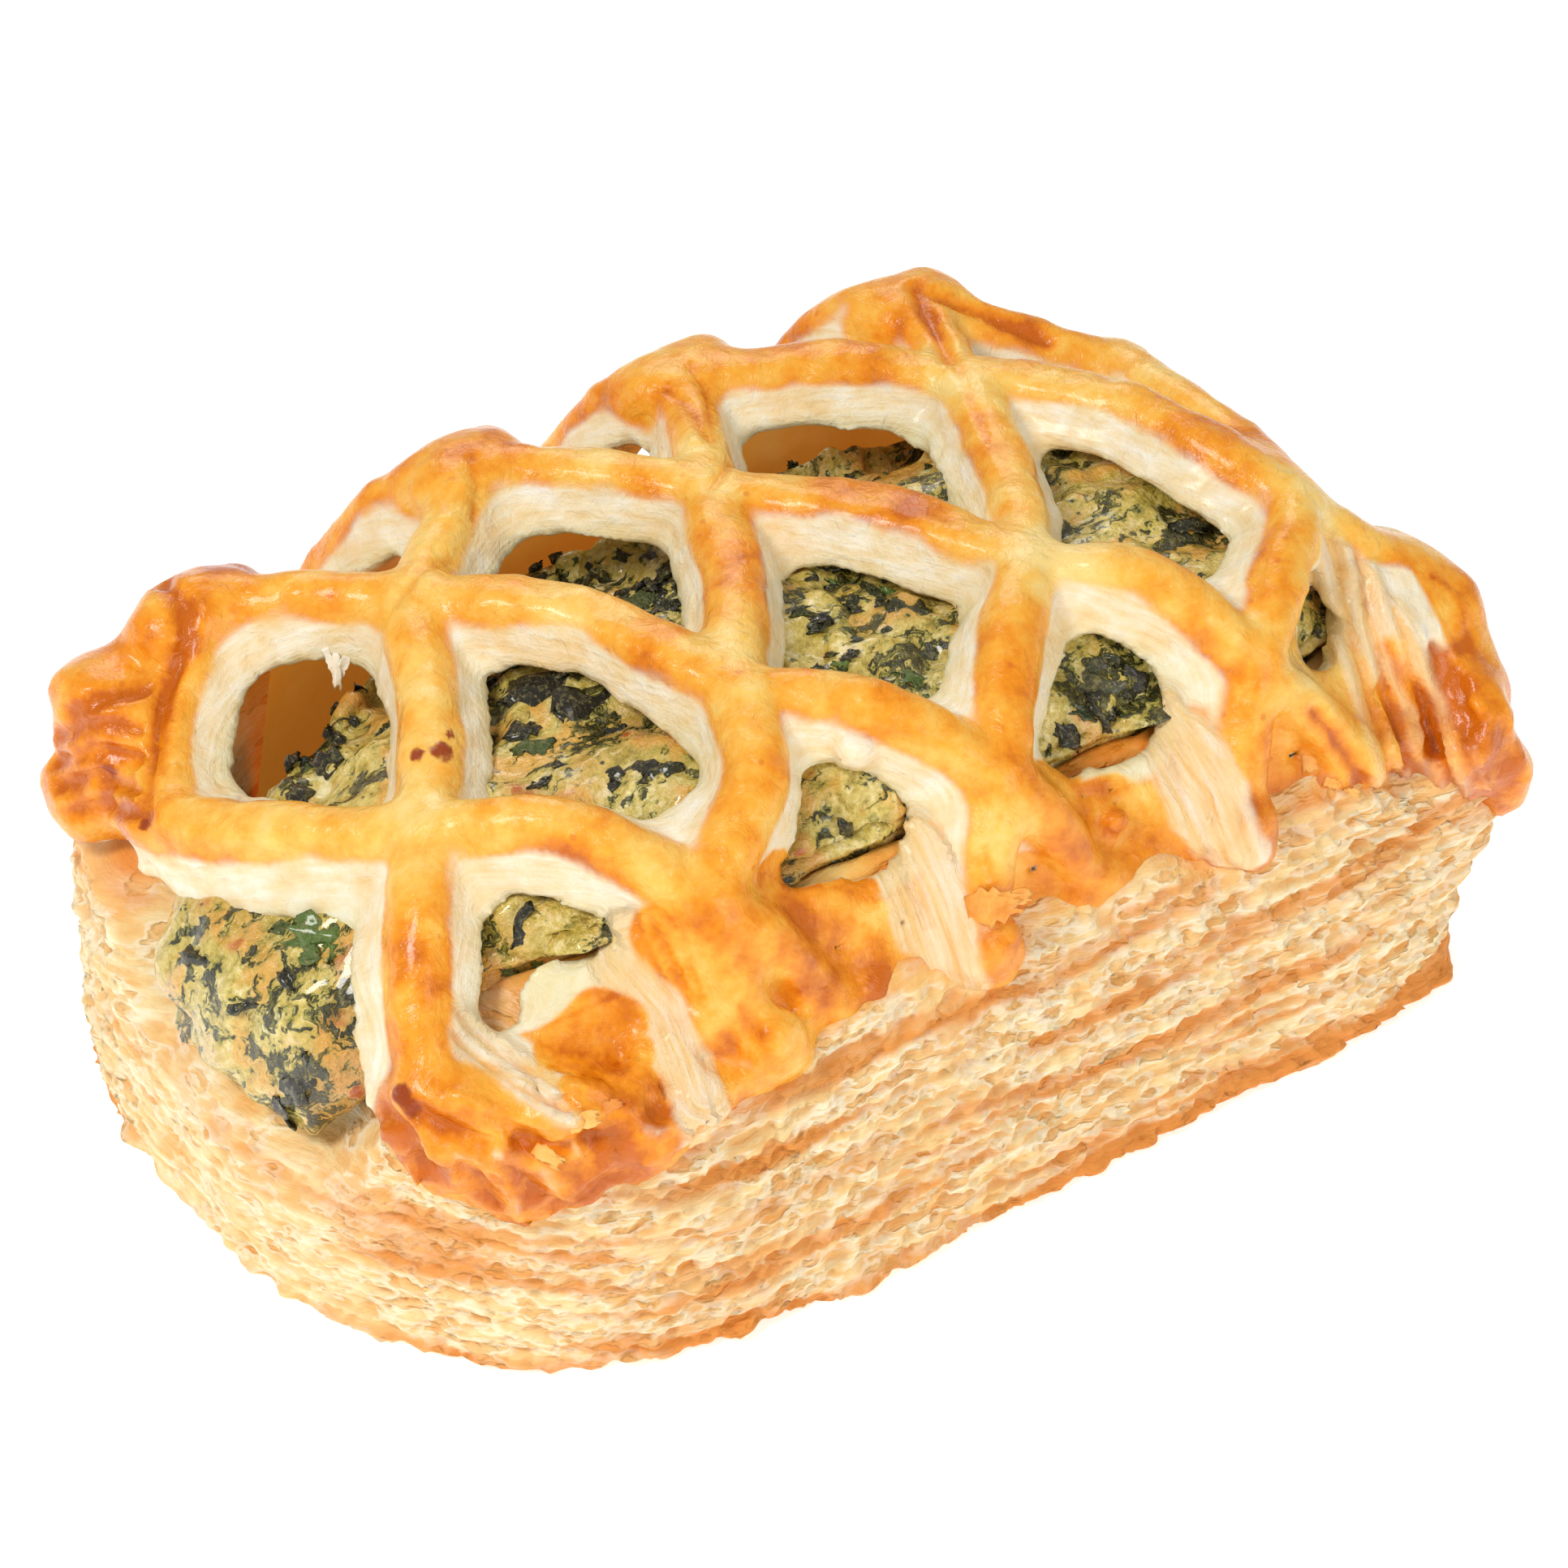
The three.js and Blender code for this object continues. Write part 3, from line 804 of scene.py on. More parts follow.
class Shader:
    """Short calls for building a node material."""

    def __init__(self, name):
        self.material = bpy.data.materials.new(name)
        self.material.use_nodes = True
        self.tree = self.material.node_tree
        self.surface = self.tree.nodes["Principled BSDF"]
        self.place = self.tree.nodes.new("ShaderNodeTexCoord").outputs["Object"]

    def link(self, source, socket):
        if isinstance(source, Value):
            source = source.socket
        if hasattr(source, "links"):
            self.tree.links.new(source, socket)
        else:
            socket.default_value = source

    def node(self, kind, inputs, **settings):
        """A new node with its settings and its inputs, by name or number."""
        made = self.tree.nodes.new(kind)
        for key, value in settings.items():
            setattr(made, key, value)
        for key, value in inputs.items():
            self.link(value, made.inputs[key])
        return made

    def attribute(self, name):
        return Value(self, self.node("ShaderNodeAttribute", {}, attribute_name=name).outputs["Fac"])

    def attributes(self, *names):
        return [self.attribute(name) for name in names]

    def math(self, operation, a, b, clamp=False):
        made = self.node("ShaderNodeMath", {0: a, 1: b}, operation=operation, use_clamp=clamp)
        return Value(self, made.outputs[0])

    def span(self, value, low, high, to_low=0.0, to_high=1.0):
        inputs = {"Value": value, "From Min": low, "From Max": high, "To Min": to_low, "To Max": to_high}
        made = self.node("ShaderNodeMapRange", inputs, interpolation_type="SMOOTHSTEP")
        return Value(self, made.outputs["Result"])

    def mix(self, part, a, b, kind="RGBA"):
        inputs = {"Factor": part, "A": a, "B": b}
        return self.node("ShaderNodeMix", inputs, data_type=kind).outputs["Result"]

    def ramp(self, value, stops):
        """Colours by a value; a stop is its place and its display colour."""
        made = self.node("ShaderNodeValToRGB", {0: value})
        points = made.color_ramp.elements
        while len(points) < len(stops):
            points.new(0.5)
        for point, (position, *shade) in zip(points, stops):
            point.position = position
            point.color = colour(*shade)
        return made.outputs["Color"]

    def turned(self, vector, turn, scale):
        inputs = {"Vector": vector, "Rotation": turn, "Scale": scale}
        return self.node("ShaderNodeMapping", inputs).outputs["Vector"]

    def noise(self, size_mm, detail=3.0, rough=0.55, vector=None, distortion=0.0):
        inputs = {"Vector": vector or self.place, "Scale": 1000.0 / size_mm, "Detail": detail,
                  "Roughness": rough, "Distortion": distortion}
        return Value(self, self.node("ShaderNodeTexNoise", inputs).outputs["Fac"])

    def cells(self, size_mm):
        made = self.node("ShaderNodeTexVoronoi", {"Vector": self.place, "Scale": 1000.0 / size_mm})
        return Value(self, made.outputs["Distance"])

    def warp(self, vector, size_mm, amount_mm):
        """Moves a place about by soft noise, so that what is drawn there is uneven."""
        made = self.node("ShaderNodeTexNoise", {"Scale": 1000.0 / size_mm, "Vector": self.place})
        inputs = {0: made.outputs["Color"], 1: (amount_mm * 0.002,) * 3, 2: vector}
        return self.node("ShaderNodeVectorMath", inputs, operation="MULTIPLY_ADD").outputs[0]

    def drawn_along(self, layer, stretch):
        """The place with the two level directions shortened and the layers for its height."""
        parts = self.node("ShaderNodeSeparateXYZ", {0: self.place}).outputs
        x, y = [Value(self, parts[k]) * stretch for k in (0, 1)]
        return self.node("ShaderNodeCombineXYZ", {0: x, 1: y, 2: layer * 0.001}).outputs[0]

    def bump(self, height, depth_mm, strength=1.0):
        inputs = {"Height": height, "Distance": depth_mm * 0.001, "Strength": strength}
        return self.node("ShaderNodeBump", inputs).outputs["Normal"]

    def set(self, **sockets):
        for key, value in sockets.items():
            self.link(value, self.surface.inputs[key.replace("_", " ")])


def glazed_pastry_material():
    s = Shader("glazed_pastry")
    wall, brown, layer, green, burn = s.attributes("wall", "brown", "layer", "green", "burn")
    broad = s.noise(8.0, detail=1.0)
    patchy = s.noise(2.4, detail=3.0, rough=0.55)
    fine = s.noise(0.5, detail=2.0)
    tone = broad * 0.55 + patchy * 0.75 - 0.145 + (brown - 0.5) * 0.8 + (fine - 0.5) * 0.12
    top = s.ramp(tone, [
        (0.14, 255, 220, 138), (0.34, 255, 203, 98),
        (0.54, 252, 176, 56), (0.72, 242, 146, 22),
        (0.92, 206, 104, 4),
    ])
    streaks = s.noise(0.55, detail=4.0, rough=0.6, vector=s.drawn_along(layer, 0.12))
    laminated = s.attribute("warm")
    cream = s.ramp(s.mix(s.span(laminated, 0.0, 0.6, 0.5, 0.0), streaks, patchy, "FLOAT"), [
        (0.28, 234, 196, 132), (0.42, 245, 221, 172),
        (0.56, 250, 238, 210), (0.70, 254, 250, 238),
    ])
    cream = s.mix(green * 0.42, cream, colour(222, 222, 170))
    cream = s.mix(laminated * 0.34, cream, colour(240, 178, 84))
    warm = s.span(s.noise(5.0, detail=2.0), 0.48, 0.72)
    cream = s.mix(warm * 0.4, cream, colour(244, 202, 134))
    edge = wall + (patchy - 0.5) * 0.25
    body = s.mix(s.span(edge, 0.1, 0.85), top, cream)
    spot = s.span(burn + (patchy - 0.5) * 1.8, 0.40, 1.0)
    body = s.mix(spot, body, colour(158, 66, 18))
    specks = s.span(s.cells(1.9), 0.10, 0.2, 1.0, 0.0)
    specks = specks * s.span(broad, 0.54, 0.66)
    specks = specks * s.span(wall, 0.2, 0.5, 0.45, 0.0)
    body = s.mix(specks, body, colour(214, 104, 34))
    s.set(Base_Color=body, Roughness=s.span(edge, 0.2, 0.7, 0.24, 0.50))
    wrinkles = s.noise(1.7, detail=4.0, rough=0.6, distortion=0.8)
    drawn = streaks * wall * s.span(laminated, 0.0, 0.6, 0.15, 0.26)
    height = drawn + wrinkles * 0.34 + fine * 0.06
    s.set(Normal=s.bump(height, 1.0))
    s.set(Subsurface_Weight=0.15, Subsurface_Radius=(1.0, 0.6, 0.3), Subsurface_Scale=0.0015)
    s.set(Specular_IOR_Level=0.3, Coat_Weight=0.2, Coat_Roughness=0.12)
    return s.material


def layered_pastry_material():
    s = Shader("layered_pastry")
    glaze, pit, band, layer, brown = s.attributes("glaze", "pit", "band", "layer", "brown")
    along = s.drawn_along(layer, 0.10)
    squeezed = s.drawn_along(layer, 0.36)
    streaks = s.noise(0.7, detail=4.0, rough=0.62, vector=along)
    bands = s.noise(3.4, detail=2.0, vector=along)
    patchy = s.noise(3.0, detail=3.0, rough=0.6)
    fine = s.noise(0.5, detail=2.0)
    calm = s.attribute("calm")
    rough = s.noise(1.25, detail=3.0, rough=0.5, vector=squeezed)
    spread = s.span(s.noise(6.0, detail=1.0), 0.35, 0.60, -0.06, 0.05)
    rough = rough - spread + calm * 0.08
    torn = s.span(rough, 0.34, 0.46, 1.0, 0.0)
    # lip: a thin ring just outside each torn patch, painted as a highlight below.
    lip = s.span(rough, 0.42, 0.47) * s.span(rough, 0.48, 0.56, 1.0, 0.0)
    tone = streaks * 0.55 + patchy * 0.45
    # The palest, near-white end of the cream falls on the raised layer ridges, partly pale dough and partly
    # painted highlight.
    cream = s.ramp(tone, [
        (0.32, 240, 184, 106), (0.44, 248, 210, 144),
        (0.56, 252, 230, 178), (0.70, 255, 248, 224),
    ])
    # Pits and torn patches are painted a darker orange, partly browning and partly painted shade in the
    # hollows; the thin near-white ring round each torn patch (lip) is a painted highlight on its crisp edge.
    hollow = s.math("ADD", pit * 0.55, torn * 0.45, clamp=True)
    cream = s.mix(hollow, cream, colour(236, 168, 84))
    cream = s.mix(lip * 0.5, cream, colour(255, 249, 228))
    toast = s.span(bands, 0.46, 0.64, 0.0, 0.80) + band * 0.30 + brown * 0.9 + (patchy - 0.5) * 0.8
    toast = toast - calm * 0.4
    cream = s.mix(s.span(toast, 0.15, 1.15), cream, colour(230, 148, 62))
    gold = s.ramp(patchy * 0.6 + brown * 0.5, [
        (0.15, 252, 220, 140), (0.40, 250, 188, 92),
        (0.65, 240, 148, 48), (0.90, 208, 104, 32),
    ])
    s.set(Base_Color=s.mix(glaze, cream, gold), Roughness=s.span(glaze, 0.2, 0.8, 0.6, 0.3))
    relief = streaks * 0.42 + patchy * 0.2 + fine * 0.06 - torn * 0.20
    s.set(Normal=s.bump(relief, 1.0))
    s.set(Subsurface_Weight=0.12, Subsurface_Radius=(1.0, 0.6, 0.3), Subsurface_Scale=0.0012)
    s.set(Specular_IOR_Level=0.4)
    return s.material


def caramel_with_painted_light_material():
    s = Shader("inner_crust")
    broad = s.noise(9.0, detail=3.0)
    # The caramel colours are lighter than the crust's own, as painted light in the shaded hollow behind the
    # cells.
    s.set(Base_Color=s.ramp(broad, [
        (0.30, 236, 156, 52), (0.50, 246, 184, 92),
        (0.70, 252, 214, 138),
    ]))
    # The weak emission is a painted glow, standing in for light coming through the thin pastry.
    s.set(Emission_Color=colour(212, 132, 40), Emission_Strength=0.3, Roughness=0.42)
    s.set(Normal=s.bump(s.noise(1.5, detail=4.0), 0.2, 0.5))
    s.set(Subsurface_Weight=0.25, Subsurface_Radius=(1.0, 0.5, 0.2), Subsurface_Scale=0.002)
    return s.material


def flake_material():
    s = Shader("pastry_flake")
    tone = s.attribute("shade") * 0.55 + s.noise(1.2, detail=2.0) * 0.5
    s.set(Base_Color=s.ramp(tone, [
        (0.02, 255, 246, 226), (0.36, 252, 210, 128),
        (0.60, 246, 178, 82), (0.84, 228, 138, 50),
    ]))
    s.set(Roughness=0.45, Normal=s.bump(s.noise(0.8, detail=2.0), 0.2))
    return s.material


def filling_material():
    s = Shader("spinach_filling")
    brown, dark = s.attributes("brown", "dark")
    patchy = s.noise(3.2, detail=4.0, rough=0.6)
    fine = s.noise(0.8, detail=3.0, rough=0.6)
    body = s.ramp(patchy * 0.5 + fine * 0.5, [
        (0.30, 152, 130, 44), (0.42, 198, 174, 78),
        (0.54, 224, 202, 112), (0.68, 252, 240, 188),
    ])
    toast = s.span(brown + (patchy - 0.5) * 1.2, 0.25, 0.80)
    body = s.mix(toast * 0.75, body, colour(214, 150, 62))
    curds = s.span(s.noise(5.2, detail=2.0, rough=0.55), 0.53, 0.64)
    body = s.mix(curds * 0.6, body, colour(236, 168, 72))
    rust = s.span(s.noise(3.4, detail=2.0), 0.60, 0.68)
    body = s.mix(rust * toast, body, colour(192, 90, 28))
    drawn = s.turned(s.warp(s.place, 1.3, 1.2), (0.3, 0.2, 0.9), (0.55, 1.3, 1.0))
    ragged = s.noise(2.5, detail=4.0, rough=0.66, vector=drawn, distortion=0.9)
    clump = s.noise(8.0, detail=1.0)
    leafy = ragged + (clump - 0.5) * 0.35 + dark * 0.06
    green = s.span(leafy, 0.50, 0.60)
    body = s.mix(green * 0.7, body, colour(118, 128, 46))
    black = s.span(leafy, 0.565, 0.625) * s.span(fine, 0.30, 0.42)
    leaf = s.ramp(fine, [
        (0.34, 38, 34, 20), (0.52, 64, 62, 32),
        (0.66, 124, 116, 60),
    ])
    body = s.mix(black, body, leaf)
    flecks = s.span(s.cells(1.1), 0.10, 0.22, 1.0, 0.0)
    sparse = s.span(clump, 0.42, 0.60)
    body = s.mix(flecks * sparse, body, colour(60, 76, 34))
    s.set(Base_Color=body, Roughness=s.span(fine, 0.3, 0.7, 0.2, 0.36))
    relief = patchy * 0.36 + black * 0.3 + s.noise(0.36, detail=2.0, rough=0.6) * 0.16
    s.set(Normal=s.bump(relief + fine * 0.26, 1.0))
    s.set(Subsurface_Weight=0.15, Subsurface_Radius=(0.8, 0.9, 0.4), Subsurface_Scale=0.001)
    s.set(Coat_Weight=0.6, Coat_Roughness=0.07)
    return s.material


def leaf_material():
    s = Shader("spinach_leaf")
    shade = s.attribute("shade")
    patchy = s.noise(1.6, detail=3.0)
    wrinkled = s.noise(0.42, detail=3.0, rough=0.65)
    tone = shade * 0.8 + patchy * 0.2
    body = s.ramp(tone, [
        (0.10, 36, 34, 24), (0.42, 56, 62, 34),
        (0.68, 84, 104, 46), (0.95, 122, 160, 66),
    ])
    # Pale grey-green specks on the wrinkles' crests are painted highlights, standing in for the leaves' wet
    # sheen.
    s.set(Base_Color=s.mix(s.span(wrinkled, 0.50, 0.66, 0.0, 0.55), body, colour(156, 148, 94)))
    s.set(Roughness=0.26, Normal=s.bump(wrinkled, 0.7), Coat_Weight=0.5, Coat_Roughness=0.1)
    return s.material


# Lattice lid

def inside_outline(x, y):
    """How far a point lies inside the case's outline, near enough."""
    inner = np.maximum(0.0, -(y - case_centre_y) - 2.0) / 29.0
    straight = x - np.where(x < 0, case_slant * (x / case_left) ** 2 * inner ** 1.5, 0.0)
    a = np.where(x < 0, case_left, case_right)
    corner = np.where(x < 0, case_corner_left, case_corner_right)
    reach = (np.abs(straight) / a) ** corner + (np.abs(y - case_centre_y) / case_half_depth) ** corner
    return (1.0 - reach ** (1.0 / corner)) * case_half_depth


def tongue_height(inward, x):
    """The glazed tongue of the case that comes up inside each front cell."""
    rise = np.interp(inward, [0.0, 2.6, 3.6, 4.8, 6.0, 7.2, 9.0], [0.0, 0.22, 0.46, 0.74, 0.94, 1.0, 0.95])
    swing = np.sin(2.0 * math.pi * (x + 26.0) / 25.2)
    return rim_height + 0.5 + rise * (tongue_top - rim_height + swing)


def add_tongues(field):
    part, (x, y, z) = field.block([-40.0, -33.5, 20.0], [45.0, -20.5, 40.0])
    x, y, z = np.broadcast_arrays(x, y, z)
    inward = inside_outline(x, y)
    top = tongue_height(inward, x)
    sheet = np.maximum(z - top, top - tongue_thickness - z) * 0.6
    sheet = smooth_max(sheet, 2.4 + 0.5 * noise_b(x, y, z, 2.4) - inward, 0.6)
    sheet = smooth_max(sheet, inward - 7.4, 1.0)
    sheet = smooth_max(sheet, np.maximum(-37.5 - x, x - 42.0), 1.5).astype(np.float32)
    field.join(part, sheet, 1.1, np.maximum(sheet, 6.0 * smooth(7.3, 8.2, inward)) - 0.9)


# Places where a thin wall would otherwise open
thin_spots = [[12.3, -28.2, 31.3], [-7.2, -20.8, 42.1], [-6.9, -21.2, 41.9]]


def lid_field():
    field = Field(lid_low, lid_high, grid_step)
    rising, falling = lattice_routes()
    for i, points in enumerate(rising):
        add_strip(field, points, foot_flank if i < len(feet) else 0.0)
    for points in falling:
        add_strip(field, points)
    add_tongues(field)
    for x, y in feet:
        add_lump(field, [x + 1.0, y + 0.6, 26.8], [2.7, 2.2, 3.4], [0.25, 0, 0.1], 1.3)
        add_lump(field, [x + 2.2, y + 0.4, 25.0], [2.0, 1.5, 2.2], [0.2, 0.3, 0.1], 1.0)
    for x, y in toes[1:]:
        add_lump(field, [x + 1.5, y + 0.8, 26.4], [4.6, 1.8, 2.0], [0.2, 0, 0.1], 1.8)
    for x, y, lift in back_row:
        height = float(dome_height(x, y)) + lift - 1.0
        add_lump(field, [x - 0.6, y + 0.6, height], [5.2, 3.6, 2.9], [-0.3, 0, 0.2], 2.2)
    for x, y in back_edge[1:]:
        add_lump(field, [x, y - 1.2, back_edge_height - 0.6], [3.4, 2.4, 3.2], [-0.2, 0, 0.1], 1.6)
    line = [[x, y, margin_height - margin_sink] for x, y in back_margin]
    add_rib(field, line, [1.5, 1.9, 1.6, 1.9, 1.5], 1.2)
    front_left_fold(field)
    far_left_fold(field)
    right_front_fold(field)
    for thin_spot in thin_spots:
        add_lump(field, thin_spot, [1.4, 1.1, 1.4], [0, 0, 0], 0.8, glazed=0.6)
    x, y, z = np.ix_(*[axis.astype(np.float32) for axis in field.axes])
    ends = np.maximum(x - lid_right, -lid_left - x)
    outside = smooth_max(ends, np.maximum(y - lid_back, z - lid_top), 1.0)
    field.values[:] = smooth_max(field.values, outside, 1.2)
    return field


# Creases and raised edges by their place in the photograph, in its pixels
deep_creases = [
    [[84, 882], [130, 858], [178, 848]], [[66, 908], [115, 892], [168, 898]],
    [[66, 938], [118, 926], [168, 934]], [[72, 968], [120, 958], [166, 970]],
    [[88, 1004], [130, 992], [178, 1004]], [[176, 1004], [182, 940], [200, 860], [232, 786]],
    [[200, 716], [226, 745], [232, 790]], [[1698, 850], [1719, 896], [1734, 945]],
    [[1713, 793], [1729, 834], [1754, 870], [1765, 926]], [[1765, 799], [1800, 860], [1808, 906]],
    [[1622, 880], [1660, 930], [1680, 965]], [[560, 1425], [585, 1455], [612, 1490]],
    [[590, 1405], [640, 1445], [690, 1488]], [[470, 1368], [500, 1400], [520, 1440]],
    [[520, 1372], [560, 1400], [600, 1408]], [[640, 1404], [680, 1420], [730, 1404]],
    [[700, 1500], [740, 1466], [790, 1440]], [[1130, 352], [1150, 400], [1170, 440]],
    [[1150, 360], [1210, 384], [1290, 420]],
]
raised_lines = [
    [[1662, 706], [1672, 770], [1690, 840], [1712, 900], [1728, 940]],
    [[1719, 742], [1744, 778], [1785, 834], [1800, 886]],
    [[1811, 865], [1836, 880], [1831, 926], [1800, 957]],
    [[1690, 700], [1712, 770], [1735, 830], [1748, 880]],
    [[605, 1420], [650, 1450], [690, 1475], [724, 1450], [750, 1430], [740, 1385]],
    [[585, 1418], [630, 1450], [640, 1500]],
    [[560, 1350], [610, 1368], [655, 1380], [700, 1382], [735, 1372]],
    [[655, 1550], [705, 1505], [760, 1460], [855, 1395]],
]
fine_creases = [
    [[1100, 1010], [1130, 1080], [1168, 1180]], [[1080, 1000], [1112, 1070], [1160, 1160]],
    [[800, 1130], [836, 1210], [872, 1300]], [[776, 1120], [812, 1200], [860, 1300]],
    [[1400, 840], [1440, 920], [1482, 1020]], [[1424, 850], [1460, 930], [1492, 1010]],
    [[1214, 1046], [1226, 1090], [1222, 1140]], [[912, 1240], [926, 1275], [922, 1310]],
    [[1520, 960], [1532, 1000], [1526, 1030]], [[580, 560], [590, 600], [584, 640]],
    [[820, 480], [850, 500], [872, 540]], [[850, 450], [872, 480], [880, 540]],
    [[210, 800], [196, 870], [184, 940]], [[222, 800], [208, 880], [200, 950]],
    [[490, 740], [520, 700], [560, 690]], [[876, 600], [900, 570], [930, 562]],
    [[1180, 450], [1200, 500], [1216, 540]],
]

# Cream, laminated flanks and golden tongues, by their lines in the photograph
flank_lines = [
    [[776, 1173], [829, 1237], [858, 1305], [872, 1345]],
    [[1047, 960], [1111, 1045], [1140, 1110], [1172, 1212]],
    [[1367, 821], [1441, 907], [1485, 975], [1520, 1060]],
]
tongue_lines = [
    [[690, 1300], [735, 1250], [765, 1262]], [[725, 1335], [770, 1325], [795, 1350]],
    [[740, 1290], [775, 1300]], [[972, 1120], [1025, 1090], [1055, 1100]],
    [[985, 1165], [1040, 1150], [1080, 1205]], [[1000, 1200], [1065, 1215]],
    [[1290, 975], [1350, 920], [1380, 930]], [[1310, 1010], [1370, 985], [1408, 1035]],
    [[1315, 1040], [1380, 1055]], [[950, 1080], [985, 1076], [1010, 1070]],
]
golden_lines = [
    [[812, 1150], [880, 1225], [916, 1290], [926, 1345]],
    [[1745, 650], [1800, 760], [1850, 870], [1866, 960]], [[560, 1385], [640, 1425], [700, 1460]],
]
browned_lines = [
    [[560, 1395], [640, 1430], [720, 1440]], [[570, 1440], [620, 1510], [650, 1540]],
    [[690, 1500], [760, 1450]], [[1810, 860], [1840, 940], [1850, 1000]],
    [[1700, 870], [1740, 950], [1800, 985]],
]
page_line = [[520, 1210], [572, 1276], [633, 1320], [695, 1352], [780, 1392]]
pleat_lines = [
    [[1640, 620], [1662, 690], [1678, 770], [1700, 840], [1728, 930], [1740, 990]],
    [[1680, 660], [1700, 720], [1740, 800], [1780, 890], [1800, 950]],
]
front_left_body = [[800, 1296], [832, 1306], [852, 1330], [815, 1335], [842, 1266]]
end_groove = [[1618, 722], [1622, 765], [1626, 806]]
pleat_edge = [[1600, 632], [1636, 650], [1683, 687], [1725, 749], [1766, 821], [1818, 904], [1828, 945]]
right_end_body = [
    [1745, 850], [1765, 910], [1750, 760], [1790, 850], [1730, 880], [1715, 930], [1700, 775],
    [1694, 728], [1712, 820],
]

# Marks by their place in the photograph, in its pixels, with a radius in millimetres
burnt_marks = [
    [385, 980, 1.7], [362, 976, 1.2], [545, 925, 1.6], [512, 930, 1.0], [492, 1350, 1.5],
    [505, 1366, 1.3], [130, 958, 1.5], [175, 1015, 1.0], [556, 905, 0.9],
]
crumpled_marks = [
    [470, 1385, 4.0], [520, 1410, 5.0], [570, 1450, 5.0], [630, 1470, 5.0], [690, 1460, 5.0],
    [745, 1430, 5.0], [810, 1400, 4.0], [600, 1400, 4.0], [660, 1420, 4.0], [1235, 1120, 3.4],
    [915, 1290, 3.4], [1530, 1010, 3.4], [1840, 965, 4.0], [1800, 985, 4.0], [1765, 985, 3.4],
    [100, 920, 4.0], [120, 975, 4.0],
]
toasted_marks = [
    [620, 560, 4.5], [840, 500, 4.5], [960, 430, 4.0], [1110, 390, 4.0], [1260, 395, 4.0],
    [300, 700, 4.0], [240, 770, 3.0], [120, 900, 4.0], [110, 950, 3.0], [150, 1010, 3.0], [660, 565, 4.0],
    [780, 575, 3.5], [1020, 590, 3.5], [1140, 620, 4.0], [700, 1070, 4.0], [885, 1120, 5.0],
    [940, 1160, 4.5], [1230, 960, 5.0], [1260, 1040, 4.5], [1320, 1080, 4.5], [985, 1150, 4.0],
    [1040, 1172, 4.0], [1350, 1000, 4.0], [1540, 850, 5.0], [1560, 930, 4.5], [1660, 900, 5.0],
    [560, 1370, 5.0], [640, 1390, 5.0], [580, 1450, 5.0], [650, 1500, 4.5], [720, 1430, 4.0],
    [1830, 900, 4.0], [1740, 720, 3.5], [1790, 820, 4.0], [1010, 1200, 4.5], [1080, 1205, 4.0],
    [970, 830, 3.5], [1100, 880, 3.5], [1240, 640, 3.5], [1400, 720, 3.5], [1480, 790, 3.5],
    [480, 1290, 3.0], [490, 1180, 3.0],
]
# Painted highlights: spots painted paler where the glaze catches the light.
painted_highlight_marks = [
    [500, 990, 4.5], [905, 800, 5.0], [910, 850, 4.5], [1190, 450, 5.0], [1170, 470, 4.0],
    [880, 590, 3.5], [1275, 680, 5.0], [1290, 710, 4.0], [1600, 590, 4.5], [1470, 500, 4.5],
    [1420, 470, 4.0], [540, 720, 3.5], [585, 720, 3.0], [520, 860, 2.5], [1530, 770, 4.0],
    [470, 1040, 4.0], [1250, 520, 3.0], [330, 1005, 3.0], [280, 1000, 4.0], [240, 1000, 3.5],
]


def front_left_fold(field):
    """The twisted corner: a browned ridge, a leaf-like flap under it and page-like edges above it."""
    for lump in (
        ([-41.6, -25.6, 23.2], [6.4, 2.6, 7.0], [0.35, 0.3, -0.62], 1.6),
        ([-36.0, -28.6, 23.4], [6.2, 2.4, 5.0], [0.3, 0.35, -0.36], 1.6),
        ([-45.4, -23.0, 26.2], [4.2, 3.0, 4.2], [0.2, 0.2, -0.8], 1.6),
    ):
        add_lump(field, *lump)
    for pixels in front_left_body:
        add_lump(field, dome_point(*pixels, -2.8), [2.8, 2.8, 2.2], [0, 0, 0], 1.4)
    add_lump(field, [-28.2, -30.4, 25.0], [4.4, 2.0, 2.2], [0.2, 0, 0.1], 1.4, glazed=-0.5)
    add_lump(field, [-33.0, -30.2, 23.6], [3.4, 2.2, 3.0], [0.2, 0.2, -0.2], 1.6)


def far_left_fold(field):
    """The gathered bundle at the far left corner: level wrinkles with deep creases."""
    for lump in (
        ([-47.8, 21.5, 33.4], [3.2, 4.6, 3.4], [0, 0.2, 0.3], 1.4),
        ([-49.0, 22.6, 28.6], [3.0, 4.4, 3.8], [0, 0.2, 0.2], 1.4),
        ([-46.8, 22.6, 37.0], [3.6, 4.6, 2.6], [0, 0.3, 0.3], 2.0),
    ):
        add_lump(field, *lump)


def right_front_fold(field):
    """The gathered right end: pleats that run down to the corner, with darker valleys between, partly
    browning and partly painted shade.
    """
    for lump in (
        ([48.4, -28.5, 25.8], [2.8, 4.4, 5.8], [0.3, -0.2, 0.3], 1.6),
        ([50.2, -31.0, 20.6], [2.2, 2.6, 4.6], [0.3, -0.2, 0.3], 1.2),
        ([46.2, -30.8, 23.0], [2.8, 2.6, 4.8], [0.3, -0.2, 0.3], 1.6),
    ):
        add_lump(field, *lump)
    for pixels in right_end_body:
        add_lump(field, dome_point(*pixels, -4.6), [5.2, 5.2, 5.2], [0, 0, 0], 2.0, glazed=0.3)
    for lift in (-1.0, -2.6, -4.2):
        line = [dome_point(px, py, lift) for px, py in end_groove]
        add_rib(field, line, [1.2, 1.5, 1.3], 0.6, groove=True)


